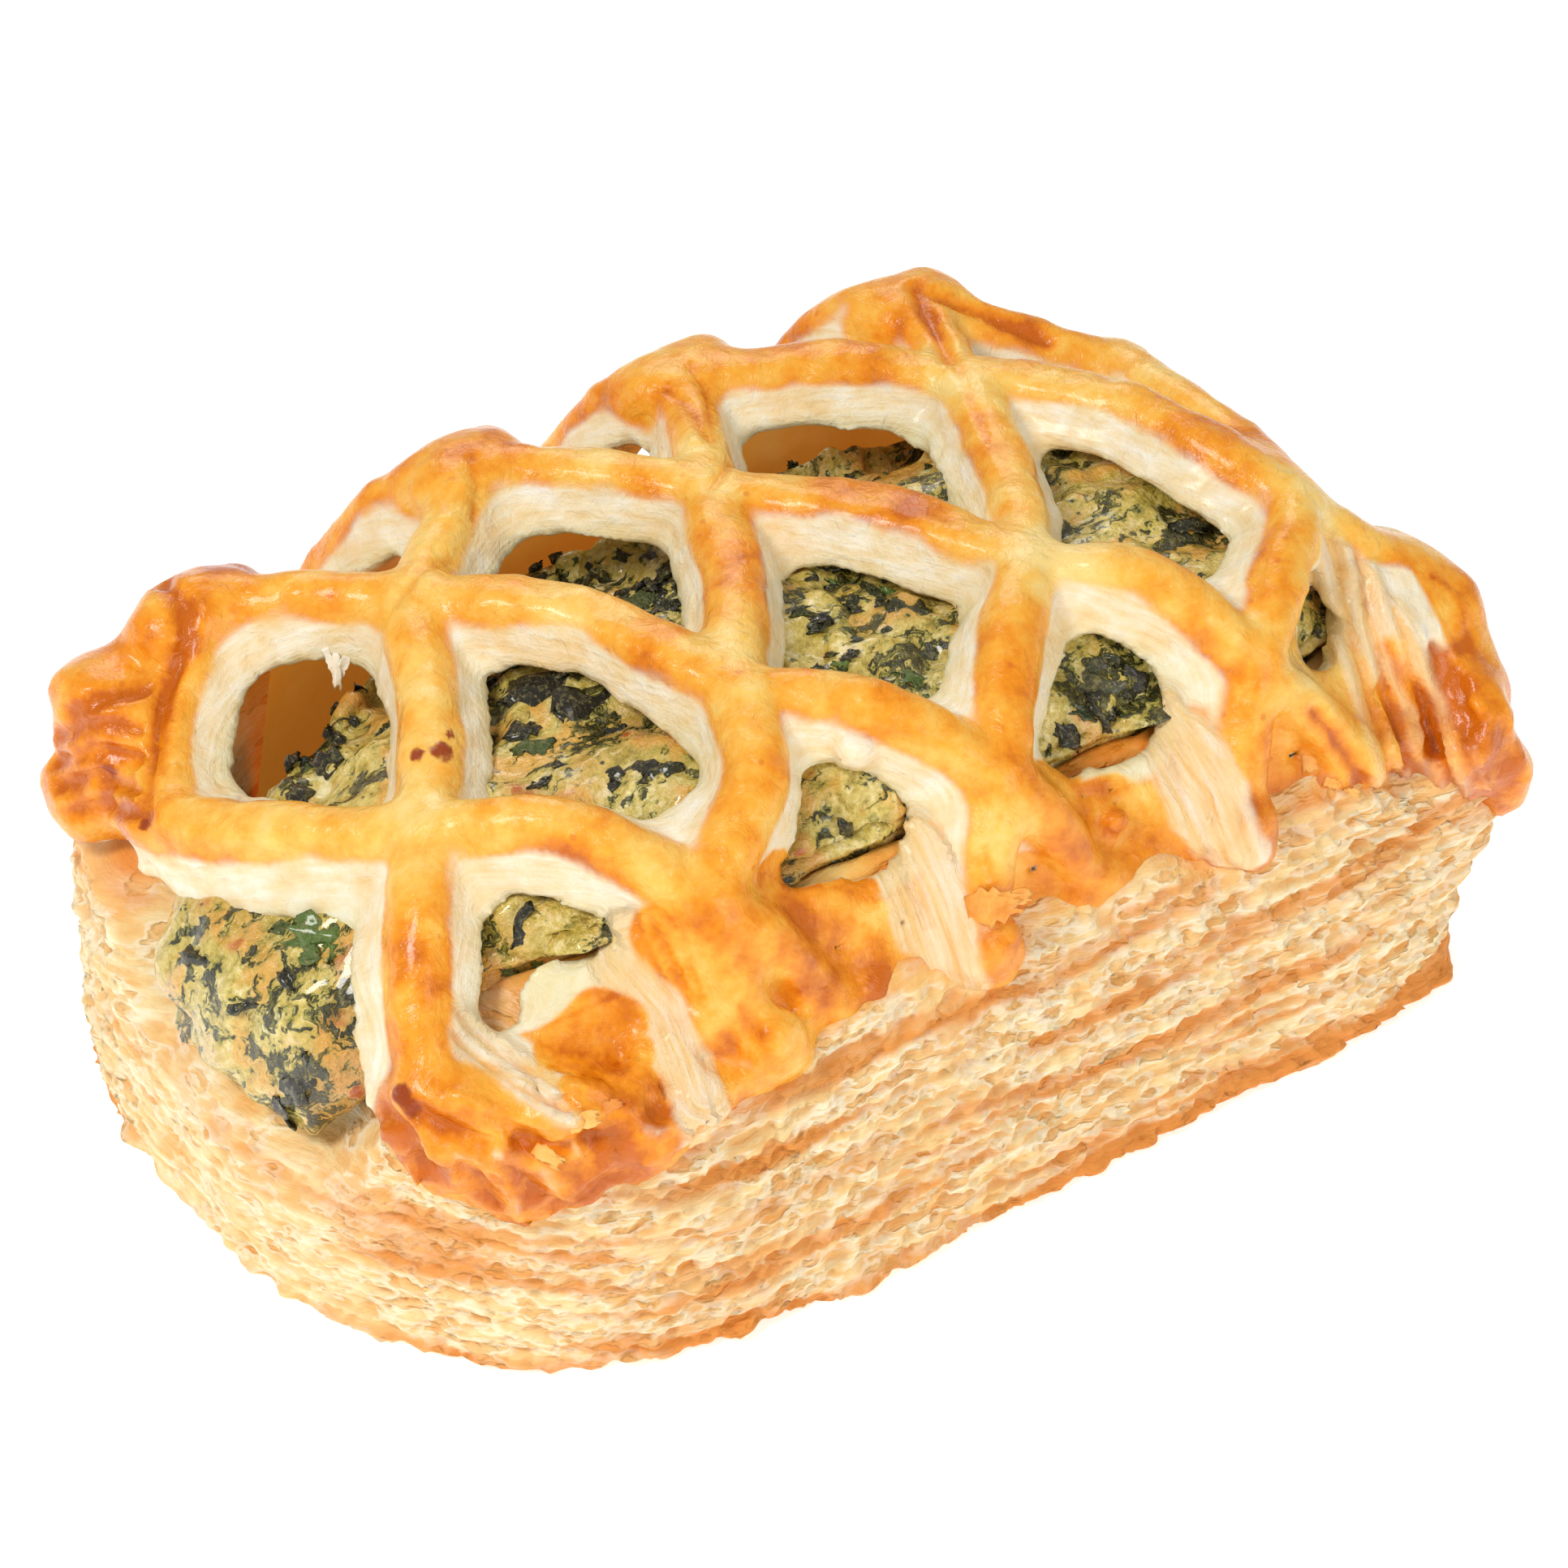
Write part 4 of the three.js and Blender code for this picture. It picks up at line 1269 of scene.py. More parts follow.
def roughen_lid(field):
    """Soft unevenness and the layers' edges, only near the surface."""
    band = np.abs(field.values) < 2.0
    x, y, z = [axis[n] for axis, n in zip(field.axes, np.nonzero(band))]
    depth = dome_depth(x, y, z)
    swell = 0.20 * layered(noise_a, x, y, z, 6.5)
    small = 0.16 * layered(noise_b, x, y, z, 2.0)
    wavy = depth + 0.5 * noise_c(x, y, z, 6.0) + 0.2 * noise_b(x, y, z, 2.4)
    ledge = 0.09 * np.sin(2.0 * math.pi * wavy / ledge_period)
    on_wall = smooth(0.0, 1.2, field.skin[band])
    low = 1.0 - smooth(27.5, 33.0, z)
    corner = smooth(-18.0, -28.0, x) * smooth(-16.0, -24.0, y)
    crumple = (0.30 + 0.30 * corner) * low * layered(noise_c, x * 1.5, y, z, 2.4)
    change = swell + small * (1.0 - 0.5 * on_wall) + ledge * on_wall + crumple
    field.values[band] += change.astype(np.float32)


def build_lid():
    field = lid_field()
    roughen_lid(field)
    vertices, quads = keep_largest(*surface_net(field))
    vertices = relax(vertices, quads, 2, 0.4)
    normals = vertex_normals(vertices, quads)
    tree = tree_of(vertices, quads)
    x, y, z = vertices.T.copy()
    px, py = photo_pixels(vertices)
    deep = line_marks(tree, vertices, deep_creases, 1.3)
    thin = line_marks(tree, vertices, fine_creases, 0.7)
    raised = line_marks(tree, vertices, raised_lines, 1.0)
    ragged = 1.0 + 0.45 * layered(noise_b, x, y, z, 2.6)
    flank = smooth(0.1, 0.5, line_marks(tree, vertices, flank_lines, 5.0) * ragged)
    pleat = smooth(0.05, 0.3, line_marks(tree, vertices, pleat_lines, 5.6) * ragged)
    pleat = pleat * smooth(0.3, -0.5, across_line(px, py, pleat_edge))
    glossy = smooth(0.05, 0.35, line_marks(tree, vertices, tongue_lines, 2.9))
    golden = smooth(0.1, 0.5, line_marks(tree, vertices, golden_lines, 3.6))
    browned = line_marks(tree, vertices, browned_lines, 4.0)
    pages = smooth(0.05, 0.6, line_marks(tree, vertices, [page_line[1:4]], 3.4) * ragged)
    flap = marks_at(tree, vertices, crumpled_marks)
    crumple = layered(noise_c, x + 0.5 * z, y, 0.7 * z, 2.6)
    vertices = vertices + normals * (0.5 * raised - 0.8 * deep - 0.35 * thin + 0.42 * flap * crumple)[:, None]
    depth = dome_depth(x, y, z)
    facing = np.sum(normals * dome_normal(vertices), axis=1)
    skin = field.skin_at(vertices)
    uneven = 0.25 * layered(noise_b, x, y, z, 3.0)
    wall = smooth(-0.45, 0.85, skin + uneven)
    wall = np.maximum(wall, 1.0 - smooth(-4.4, -3.2, depth + 3.0 * smooth(33.0, 28.0, z)))
    wall = np.maximum(wall, smooth(0.0, -0.3, facing))
    brown = 0.5 + 0.22 * layered(noise_a, x, y, z, 9.0)
    brown += 0.20 * smooth(0.05, 0.4, wall) * (1.0 - smooth(0.5, 0.9, wall))
    brown += 0.16 * smooth(18.0, 27.0, y) + 0.24 * (1.0 - smooth(26.0, 31.5, z))
    for cx, cy, _ in middle_row[1:3] + back_middle_row[1:4]:
        brown -= 0.10 * (1.0 - smooth(2.0, 6.0, np.hypot(x - cx, y - cy)))
    green = (1.0 - smooth(-5.2, -2.2, depth)) * smooth(28.0, 33.0, z)
    wall = np.maximum(wall, 0.9 * flank * smooth(0.0, 1.6, skin + 1.9))
    wall = np.maximum(wall, 0.8 * pages)
    wall = wall * (1.0 - np.maximum(glossy, golden))
    wall = np.maximum(wall, glossy * smooth(0.35, 0.75, normals[:, 1]))
    for line in flank_lines:
        across_flank = across_line(px, py, line)
        depth = mix(depth, across_flank, flank * (np.abs(across_flank) < 3.6))
    across_pleats = across_line(px, py, pleat_lines[0])
    depth = mix(depth, across_pleats, pleat)
    uneven_pleats = across_pleats + 0.5 * noise_b(x, y, z, 4.5)
    ridge = wave(uneven_pleats, pleat_periods[0]) + 0.4 * wave(uneven_pleats, pleat_periods[1])
    vertices = vertices + normals * ((0.30 + 0.16 * noise_a(x, y, z, 5.0)) * ridge * pleat)[:, None]
    ridge = smooth(-1.0, 0.4, ridge)
    outer = smooth(4.0, 8.0, np.abs(across_pleats))
    low = pleat * smooth(765.0, 900.0, py + 14.0 * noise_b(x, y, z, 4.0))
    # Pleat crests are painted creamier than the valleys, partly the pale cut layers and partly painted
    # highlight and shade that follow the pleats.
    wall = mix(wall, mix(0.42, 0.9, ridge) * (1.0 - 0.6 * outer), 0.92 * pleat) * (1.0 - 0.5 * low)
    across_pages = across_line(px, py, page_line)
    depth = mix(depth, across_pages, pages)
    leaves = wave(across_pages + 0.25 * noise_b(x, y, z, 4.0), page_period)
    vertices = vertices + normals * (0.22 * leaves * pages)[:, None]
    wall = wall * (1.0 - pages * (0.45 - 0.45 * smooth(-0.8, 0.4, leaves)))
    plies = wave(depth + 0.3 * noise_b(x, y, z, 4.0), flank_period)
    vertices = vertices + normals * (0.10 * plies * flank)[:, None]
    burn = marks_at(tree, vertices, burnt_marks)
    brown = brown + 0.20 * marks_at(tree, vertices, toasted_marks)
    # Painted highlights: the glaze is painted paler at these spots.
    brown = brown - 0.16 * marks_at(tree, vertices, painted_highlight_marks)
    # The pleat valleys are painted browner and the crests paler, partly browning and partly painted shade.
    brown = brown + pleat * (0.22 * (1.0 - ridge) - 0.12) + 0.07 * low
    brown = brown + 0.07 * (1.0 - pleat) * smooth(1680.0, 1790.0, px) * smooth(610.0, 700.0, py)
    # In the creases the colour is painted browner, and at the deep ones less cream, partly browning and
    # partly painted shade; the raised lines are painted paler, a painted highlight on their crests.
    brown = brown + 0.45 * deep + 0.25 * thin + 0.22 * glossy - 0.2 * raised + 0.18 * browned
    wall = wall * (1.0 - 0.75 * deep)
    # On the crumpled flap the troughs are painted brown and the raised crests cream, partly browning and
    # partly painted shade and highlight that follow the crumple.
    brown = mix(brown, 0.84 - 0.42 * crumple, 0.8 * flap)
    wall = np.maximum(wall, 0.55 * flap * smooth(0.25, 0.9, crumple + 0.3 * noise_b(x, y, z, 1.6)))
    warm = np.maximum(np.maximum(flank, pleat), 0.4 * pages)
    attributes = {"wall": wall, "brown": brown, "layer": depth, "green": green, "burn": burn, "warm": warm}
    lid = make_object("lattice_lid_skin", vertices, quads, glazed_pastry_material(),
                      attributes)
    return lid, tree

# Case

def case_outline(angle, grow):
    c = np.cos(angle)
    s = np.sin(angle)
    a = np.where(c < 0, case_left, case_right) + grow
    b = case_half_depth + grow
    corner = np.where(c < 0, case_corner_left, case_corner_right)
    radius = (np.abs(c / a) ** corner + np.abs(s / b) ** corner) ** (-1.0 / corner)
    x = radius * c
    y = radius * s
    inner = np.maximum(0.0, -y - 2.0) / 29.0
    x = x + np.where(x < 0, case_slant * (x / case_left) ** 2 * inner ** 1.5, 0.0)
    return x, y + case_centre_y


def outline_angles(spacing_shown, spacing_hidden):
    """Angles along the outline, closer together where the wall is seen best."""
    fine = np.linspace(0.0, 2.0 * math.pi, 7201)
    x, y = case_outline(fine, 0.0)
    lengths = np.hypot(np.diff(x), np.diff(y))
    mx, my = case_outline(0.5 * (fine[1:] + fine[:-1]), 0.0)
    shown = np.maximum(smooth(0.0, 8.0, -my), smooth(30.0, 40.0, -mx))
    total = running(lengths / mix(spacing_hidden, spacing_shown, shown))
    count = int(round(total[-1]))
    wanted = np.linspace(0.0, total[-1], count, endpoint=False)
    angles = np.interp(wanted, total, fine)
    return angles, np.interp(angles, fine, running(lengths))


def endness(angle):
    x, y = case_outline(angle, 0.0)
    return smooth(38.0, 48.0, np.abs(x)) * (1.0 - smooth(9.0, 21.0, np.abs(y + 1.0)))


def end_dip(angle):
    return np.where(np.cos(angle) < 0, left_dip, right_dip) * endness(angle)


def scallop(x):
    """1 between two feet of the lattice and 0 at a foot."""
    total = 0.0
    for foot, _ in feet + [[-38.0, 0.0], [42.0, 0.0]]:
        total = total + np.exp(-((x - foot) / 4.2) ** 2)
    return 1.0 - np.minimum(1.0, total)


def front_rise(x, y):
    """How much the wall stands higher along the front, between the feet."""
    front = smooth(20.0, 27.0, -y) * smooth(44.0, 38.0, np.abs(x + 1.0))
    return front * (1.0 + 2.6 * scallop(x))


def rim_at(angle):
    x, y = case_outline(angle, 0.0)
    return rim_height - end_dip(angle) + front_rise(x, y)


def collar_at(angle):
    x, _ = case_outline(angle, 0.0)
    corner = smooth(36.0, 48.0, np.abs(x))
    drop = np.where(np.cos(angle) < 0, 3.4, 1.6)
    return collar_height - drop * corner - 1.9 * end_dip(angle)


def bubbles(along, height, width, tall, seed):
    """Long shallow pits laid along the layers: 1 in the middle of a pit, 0 on the skin between."""
    rng = np.random.default_rng(seed)
    table = rng.uniform(0.0, 1.0, (256, 256, 3))
    q = along / width
    r = height / tall
    row = np.floor(r).astype(int)
    q = q + 0.5 * (row % 2)
    best = np.full(np.shape(q), 9.0)
    size = np.zeros(np.shape(q))
    for dr in (-1, 0, 1):
        for dq in (-1, 0, 1):
            cq = np.floor(q).astype(int) + dq
            cr = row + dr
            spot = table[cq & 255, cr & 255]
            distance = np.hypot(cq + 0.15 + 0.7 * spot[..., 0] - q, (cr + 0.2 + 0.6 * spot[..., 1] - r))
            scale = 0.30 + 0.34 * spot[..., 2]
            ratio = distance / scale
            closer = ratio < best
            best = np.where(closer, ratio, best)
            size = np.where(closer, scale, size)
    return (1.0 - smooth(0.35, 1.0, best)) * smooth(0.34, 0.5, size)


def build_case():
    angles, arc = outline_angles(*wall_spacing)
    count = len(angles)
    rim = rim_at(angles)
    collar = collar_at(angles)
    end = left_end_share(angles)
    rings = []
    tags = []

    def ring(grow, height, tag):
        x, y = case_outline(angles, grow)
        rings.append(np.stack([x, y, np.broadcast_to(height, (count,))], axis=1))
        tags.append(tag)

    ring(-14.0, 0.0, "under")
    ring(-3.0, 0.0, "under")
    for i in range(wall_rows):
        t = i / (wall_rows - 1)
        height = 0.15 + t * (rim - 0.15)
        ring(wall_growth(angles, arc, height, rim), height, "wall")
    profile_in = np.array([0.0, 1.6, 4.4, 6.0, 8.0, collar_width])
    profile_up = np.array([0.0, 0.05, 0.22, 0.66, 0.95, 1.0])
    for i in range(1, collar_rows + 1):
        t = i / collar_rows
        inward = mix(0.6 + round_depth(angles), collar_width, t)
        up = np.interp(inward, profile_in, profile_up)
        lift = 0.25 * noise_b(arc, inward, 3.0, 4.0) + 1.6 * end * math.sin(math.pi * t ** 0.8)
        ring(-inward + 0.3 * noise_a(arc, inward, 0.0, 3.0), rim + up * (collar - rim) + lift, "collar")
    ring(-wall_thickness, collar - 2.2, "inner")
    ring(-wall_thickness - 0.8, floor_thickness + 5.0, "inner")
    ring(-wall_thickness - 3.0, floor_thickness, "inner")
    ring(-30.0, floor_thickness, "inner")
    vertices = np.concatenate(rings)
    row_count = len(rings)
    quads = grid_quads(row_count, count, closed=True)
    tags = np.repeat(tags, count)
    on_wall = tags == "wall"
    on_collar = tags == "collar"
    x, y, z = vertices.T
    arc_all = np.tile(arc, row_count)
    rim_all = np.tile(rim, row_count)
    pit, band, layer = wall_marks(arc_all, z)
    glaze = np.where(on_collar, smooth(2.6, 3.6, inside_outline(x, y)), 0.0)
    rim_glaze = 0.5 * smooth(rim_all - 1.0, rim_all, z + 0.5 * noise_c(arc_all, z, 0.0, 3.0))
    glaze = np.maximum(glaze, np.where(on_wall, rim_glaze, 0.0))
    left_rim = smooth(34.0, 42.0, -x) * smooth(20.0, 12.0, y)
    glaze = glaze * (1.0 - left_rim)
    pit = np.where(on_wall, pit, 0.0)
    band = np.where(on_wall, band, 0.0)
    brown = np.where(on_wall, smooth(2.6, 0.6, z) * 0.8, 0.0)
    brown = brown + 0.16 * smooth(22.0, 30.0, -y) + 0.4 * smooth(44.0, 50.0, x)
    brown = brown + np.where(on_collar, (0.3 + 0.5 * noise_a(x, y, z, 6.0)) * (1.0 - left_rim), 0.0)
    brown = brown + 0.5 * np.where(on_collar, left_rim * smooth(0.25, 0.7, noise_b(x, y, z, 3.0)), 0.0)
    calm = np.tile(end, row_count)
    attributes = {"glaze": glaze, "pit": pit, "band": band, "layer": layer, "brown": brown, "calm": calm}
    case = make_object("pastry_case_skin", vertices, quads, layered_pastry_material(), attributes)
    number = np.arange(count)
    make_object("pastry_case_base", np.concatenate([rings[0], [[0.0, case_centre_y, 0.0]]]),
                np.stack([np.full(count, count), np.roll(number, -1), number], axis=1),
                case.data.materials[0])
    return case


def wall_layer(arc, height):
    """Height measured along the wavy layers of the wall."""
    return height + 0.9 * noise_a(arc, 0.0, 7.0, 22.0) + 0.5 * noise_b(arc, height * 0.3, 2.0, 8.0)


def wall_marks(arc, height):
    layer = wall_layer(arc, height)
    wide = bubbles(arc + 1.2 * noise_c(arc, height, 0.0, 3.0), layer, 2.7, 1.35, 5)
    small = bubbles(arc, layer + 0.4 * noise_a(arc, height, 0.0, 2.0), 1.3, 0.7, 8)
    pit = np.clip(np.maximum(wide, 0.6 * small), 0.0, 1.0)
    phase = layer / ply_spacing + 0.25 * noise_b(arc, height, 9.0, 14.0)
    crease = np.abs(phase - np.round(phase)) * ply_spacing
    band = 1.0 - smooth(0.15, 0.9 + 0.5 * noise_a(arc, height, 4.0, 5.0), crease)
    band = band * smooth(-0.5, 0.3, noise_c(arc, layer * 1.5, 1.0, 9.0))
    return pit, band, layer


def wall_growth(angles, arc, height, rim):
    """How far the wall stands out: belly, foot, layers, creases, pits and the flared corners."""
    t = height / rim_height
    belly = 0.7 * np.sin(math.pi * np.clip(t, 0.0, 1.0)) + 0.2
    foot = 0.25 * (1.0 - smooth(0.0, 3.0, height)) - 0.5 * (1.0 - smooth(0.0, 0.7, height))
    x, y = case_outline(angles, 0.0)
    corner = smooth(42.0, 50.0, np.abs(x)) * smooth(18.0, 30.0, np.abs(y - case_centre_y))
    front_right = (x > 0) & (y < 0)
    flare = np.where(front_right, 2.8, 0.9) * corner * smooth(8.0, 18.0, height)
    pit, band, layer = wall_marks(arc, height)
    ripple = 0.20 * layered(noise_c, arc * 0.3, layer * 1.1, 0.0 * arc, 1.8)
    grain = 0.20 * layered(noise_b, arc * 0.8, layer * 1.6, 0.0 * arc, 1.2)
    swell = 0.35 * noise_a(arc * 0.3, layer, 0.0 * arc, 3.4)
    rim_fade = (1.0 - 0.5 * smooth(rim - 1.0, rim, height)) * (1.0 - 0.45 * left_end_share(angles))
    lip = 0.5 * (1.0 - smooth(0.7, 1.5, height)) * (1.0 + noise_c(arc, 0.0 * arc, 0.0 * arc, 2.2))
    relief = ripple + grain + swell - 0.75 * pit - 0.22 * band
    part = np.clip((height - (rim - end_round_height)) / end_round_height, 0.0, 1.0)
    rounding = round_depth(angles) * (1.0 - np.sqrt(1.0 - 0.98 * part ** 2))
    return belly + foot + flare + lip + relief * rim_fade - rounding


def front_share(angles):
    x, y = case_outline(angles, 0.0)
    return smooth(20.0, 27.0, -y) * smooth(46.0, 40.0, np.abs(x))


def left_end_share(angles):
    return np.where(np.cos(angles) < 0, 1.0, 0.0) * endness(angles)


def round_depth(angles):
    """How far the wall's top is rounded off inwards, at the left end and along the front."""
    return np.maximum(end_round_depth * left_end_share(angles), front_round_depth * front_share(angles))


# Filling

def filling_top(x, y):
    sag = filling_sag * smooth(2.0, 14.0, y) + 1.5 * smooth(15.0, 24.0, -y) + 4.5 * smooth(9.0, 17.0, y)
    return dome_height(x, y) - filling_drop - sag


def build_filling():
    fine = np.linspace(0.0, 2.0 * math.pi, 3601)
    x, y = case_outline(fine, -collar_width)
    lengths = running(np.hypot(np.diff(x), np.diff(y)))
    angles = np.interp(np.linspace(0.0, lengths[-1], filling_columns, endpoint=False), lengths, fine)
    bulge = np.where(np.cos(angles) < 0, 1.0, 0.4) * endness(angles)
    setback = filling_setback * smooth(4.0, 20.0, case_outline(angles, 0.0)[1])
    sill = collar_at(angles) + 0.3
    levels = [
        (-collar_width - 0.3, 0.0, 0.0, 0.0),
        (-collar_width, 8.4, 0.5, 0.0),
        (-collar_width, 10.0, 2.0, 4.5),
        (-collar_width - 0.4, 8.0, 2.6, 10.0),
    ]
    x, y = case_outline(angles, -wall_thickness - 0.5 - setback)
    keys = [np.stack([x, y, np.full(filling_columns, filling_foot)], axis=1)]
    for grow, out, up, swell in levels:
        x, y = case_outline(angles, grow + out * bulge - setback)
        keys.append(np.stack([x, y, sill + up + swell * bulge], axis=1))
    for inward in (10.5, 14.0, 18.5, 24.0, 29.5, 33.0):
        held = 1.0 - smooth(12.0, 30.0, inward)
        swell = 3.0 * bulge * (1.0 - smooth(10.0, 24.0, inward))
        x, y = case_outline(angles, -inward + swell - setback * held)
        keys.append(np.stack([x, y, np.maximum(sill + 1.4, filling_top(x, y))], axis=1))
    steps = np.linalg.norm(np.diff(keys, axis=0), axis=2).mean(axis=1)
    rings = []
    for i, step in enumerate(steps):
        p0, p1, p2, p3 = [keys[min(max(0, i + k), len(keys) - 1)] for k in (-1, 0, 1, 2)]
        parts = max(2, int(round(step / filling_step)))
        for j in range(parts):
            t = j / parts
            rings.append(0.5 * (2 * p1 + (p2 - p0) * t + (2 * p0 - 5 * p1 + 4 * p2 - p3) * t * t
                                + (3 * p1 - p0 - 3 * p2 + p3) * t ** 3))
    rings.append(keys[-1])
    vertices = np.concatenate(rings)
    quads = grid_quads(len(rings), filling_columns, closed=True)
    normals = vertex_normals(vertices, quads)
    x, y, z = vertices.T
    lumps = 1.0 * layered(noise_a, x, y, z, 5.0) + 0.45 * layered(noise_b, x, y, z, 1.8)
    curds = 0.7 * np.maximum(0.0, noise_c(x, y, z, 2.6)) ** 0.6
    vertices = vertices + normals * (lumps + curds - 0.5)[:, None]
    brown = 0.1 + 0.5 * layered(noise_c, x, y, z, 7.0) + 0.25 * np.maximum(0.0, lumps)
    brown = brown + 0.52 * smooth(34.0, 42.0, -x) * smooth(2.0, -14.0, y)
    dark = 0.15 - 0.6 * lumps + 0.3 * noise_b(x, y, z, 4.0)
    last = np.arange(filling_columns) + len(vertices) - filling_columns
    i = np.arange(filling_columns // 2 - 1)
    ladder = [last[i], last[i + 1], last[filling_columns - 2 - i], last[filling_columns - 1 - i]]
    quads = np.concatenate([quads, np.stack(ladder, axis=1)])
    filling = make_object("filling_skin", vertices, quads, filling_material(),
                          {"brown": brown, "dark": dark})
    return filling, vertices, quads, vertex_normals(vertices, quads)


def meets(tree, points):
    """True where a point lies in or close to a closed surface."""
    for point in points:
        place, normal, _, distance = tree.find_nearest(point.tolist())
        if distance < 0.4 or np.dot(point - np.array(place), np.array(normal)) < 0:
            return True
    return False


def leaf(centre, normal, along, length, width, rng):
    """One torn, wavy leaf: its points, row by row, and a closed thin sheet of them."""
    side = 9
    across = np.cross(normal, along)
    u, v = np.meshgrid(np.linspace(-1, 1, side), np.linspace(-1, 1, side), indexing="ij")
    outline = np.sqrt(np.maximum(0.0, 1.0 - u ** 2)) ** 0.7
    ragged = 1.0 + 0.5 * rng.uniform(-1, 1, (side, 1)) + 0.2 * rng.uniform(-1, 1, u.shape)
    along_part = u * length * 0.5 * (1.0 + 0.16 * rng.uniform(-1, 1, u.shape))
    across_part = v * width * 0.5 * outline * ragged
    waves = 0.22 * np.sin(u * rng.uniform(2, 4) + rng.uniform(0, 6))
    waves = waves + 0.16 * np.sin(v * 3 + rng.uniform(0, 6))
    waves = waves + 0.09 * rng.uniform(-1, 1, u.shape)
    lift = 0.16 + waves + rng.uniform(-0.1, 0.2) - 0.20 * (u ** 2 + v ** 2)
    points = centre + along_part[..., None] * along + across_part[..., None] * across
    points = points + lift[..., None] * normal
    return sheet_of(points, leaf_thickness, normal)


def sheet_of(points, thickness, normal):
    """A closed thin sheet from a square grid of points."""
    side = len(points)
    points = points.reshape(-1, 3)
    index = np.arange(side * side).reshape(side, side)
    top = grid_quads(side, side)[:, [0, 3, 2, 1]]
    under = top[:, ::-1] + side * side
    rim = np.concatenate([index[0, :], index[1:, -1], index[-1, -2::-1], index[-2:0:-1, 0]])
    after = np.roll(rim, -1)
    edge = np.stack([rim, after, after + side * side, rim + side * side], axis=1)
    return np.concatenate([points, points - thickness * normal]), np.concatenate([top, under, edge])


# Single leaves: place in the photograph, the way they point (right, up), length, width, how green
placed_leaves = [
    [392, 1150, 1.0, -0.2, 4.6, 2.6, 0.86], [372, 1172, 1.0, -0.5, 3.8, 1.4, 0.8],
    [404, 1166, 0.7, -1.0, 3.4, 1.4, 0.9], [360, 1140, 1.0, 0.2, 3.4, 1.2, 0.7],
    [186, 1160, 0.1, -1.0, 5.0, 1.3, 0.05], [178, 1240, 0.1, -1.0, 5.0, 1.0, 0.1],
    [200, 1120, 1.0, 0.5, 4.2, 1.6, 0.05], [190, 1310, 0.3, -1.0, 4.0, 1.0, 0.3],
    [366, 1330, 0.8, 1.0, 5.0, 3.0, 0.0], [350, 1372, 1.0, 0.9, 4.0, 2.4, 0.0],
    [240, 1180, 1.0, -0.3, 3.2, 1.4, 0.1], [300, 1240, 1.0, 0.4, 2.6, 1.2, 0.1],
    [660, 850, 1.0, 0.5, 5.6, 3.2, 0.0], [720, 870, 1.0, 0.3, 5.2, 2.6, 0.0],
    [650, 900, 1.0, 0.5, 3.6, 1.8, 0.0], [790, 950, 1.0, 0.4, 4.4, 2.0, 0.05],
    [690, 830, 1.0, 0.4, 4.0, 1.2, 0.2], [640, 1140, 0.5, 1.0, 3.4, 1.3, 0.0],
]


def build_leaves(vertices, quads, normals, lid_surface):
    """Torn spinach leaves, thin and wavy, lying on and partly in the filling."""
    rng = np.random.default_rng(71)
    surface = tree_of(vertices, quads)
    allowed = np.argwhere((normals[:, 2] > -0.3) & (vertices[:, 2] > 17.0))[:, 0]
    parts = []
    shades = []
    for px, py, right, up, length, width, shade in placed_leaves:
        centre, normal = surface_at(surface, px, py)
        if centre is None:
            continue
        along = picture_direction(right, up)
        along = unit(along - normal * np.dot(along, normal))
        parts.append(leaf(centre, normal, along, length, width, rng))
        shades.append(shade)
    for n in rng.choice(allowed, leaves_wanted, replace=False):
        centre = vertices[n]
        normal = normals[n]
        clump = float(noise_a(*centre, 7.0))
        if clump < -0.15 and rng.uniform() < 0.75:
            continue
        length = rng.uniform(1.2, 4.2)
        width = length * rng.uniform(0.28, 0.55)
        turn = 0.6 + 1.3 * float(noise_b(*centre, 9.0)) + rng.uniform(-0.5, 0.5)
        along = unit(np.cross(normal, [math.cos(turn), math.sin(turn), 0.3]))
        made = leaf(centre, normal, along, length, width, rng)
        if meets(lid_surface, made[0]):
            continue
        parts.append(made)
        shades.append(rng.uniform(0.0, 0.55) ** 1.3 + (0.5 if rng.uniform() < 0.14 else 0.0))
    points, faces = merge(parts)
    shade = np.repeat(shades, [len(v) for v, _ in parts])
    return make_object("spinach_leaves", points, faces, leaf_material(), {"shade": shade})


def build_inner_crust():
    """The smooth browned inside of the crust, seen through the cells along the back, lightened and made to
    glow faintly as painted light.
    """
    angles = np.linspace(math.radians(-14.0), math.radians(152.0), 300)
    rows = []
    for t in np.linspace(0.0, 1.0, 30):
        inward = crust_inward + 2.4 * t - 1.0 * smooth(math.radians(135.0), math.radians(165.0), angles)
        inward = inward - 4.0 * smooth(math.radians(12.0), math.radians(0.0), angles)
        x, y = case_outline(angles, -inward)
        z = crust_foot + crust_rise * t + 0.4 * noise_a(x, y, 9.0 * t, 6.0)
        rows.append(np.stack([x, y, np.minimum(z, dome_height(x, y) - crust_gap)], axis=1))
    quads = grid_quads(len(rows), len(angles))
    return make_object("inner_crust", np.concatenate(rows), quads, caramel_with_painted_light_material())


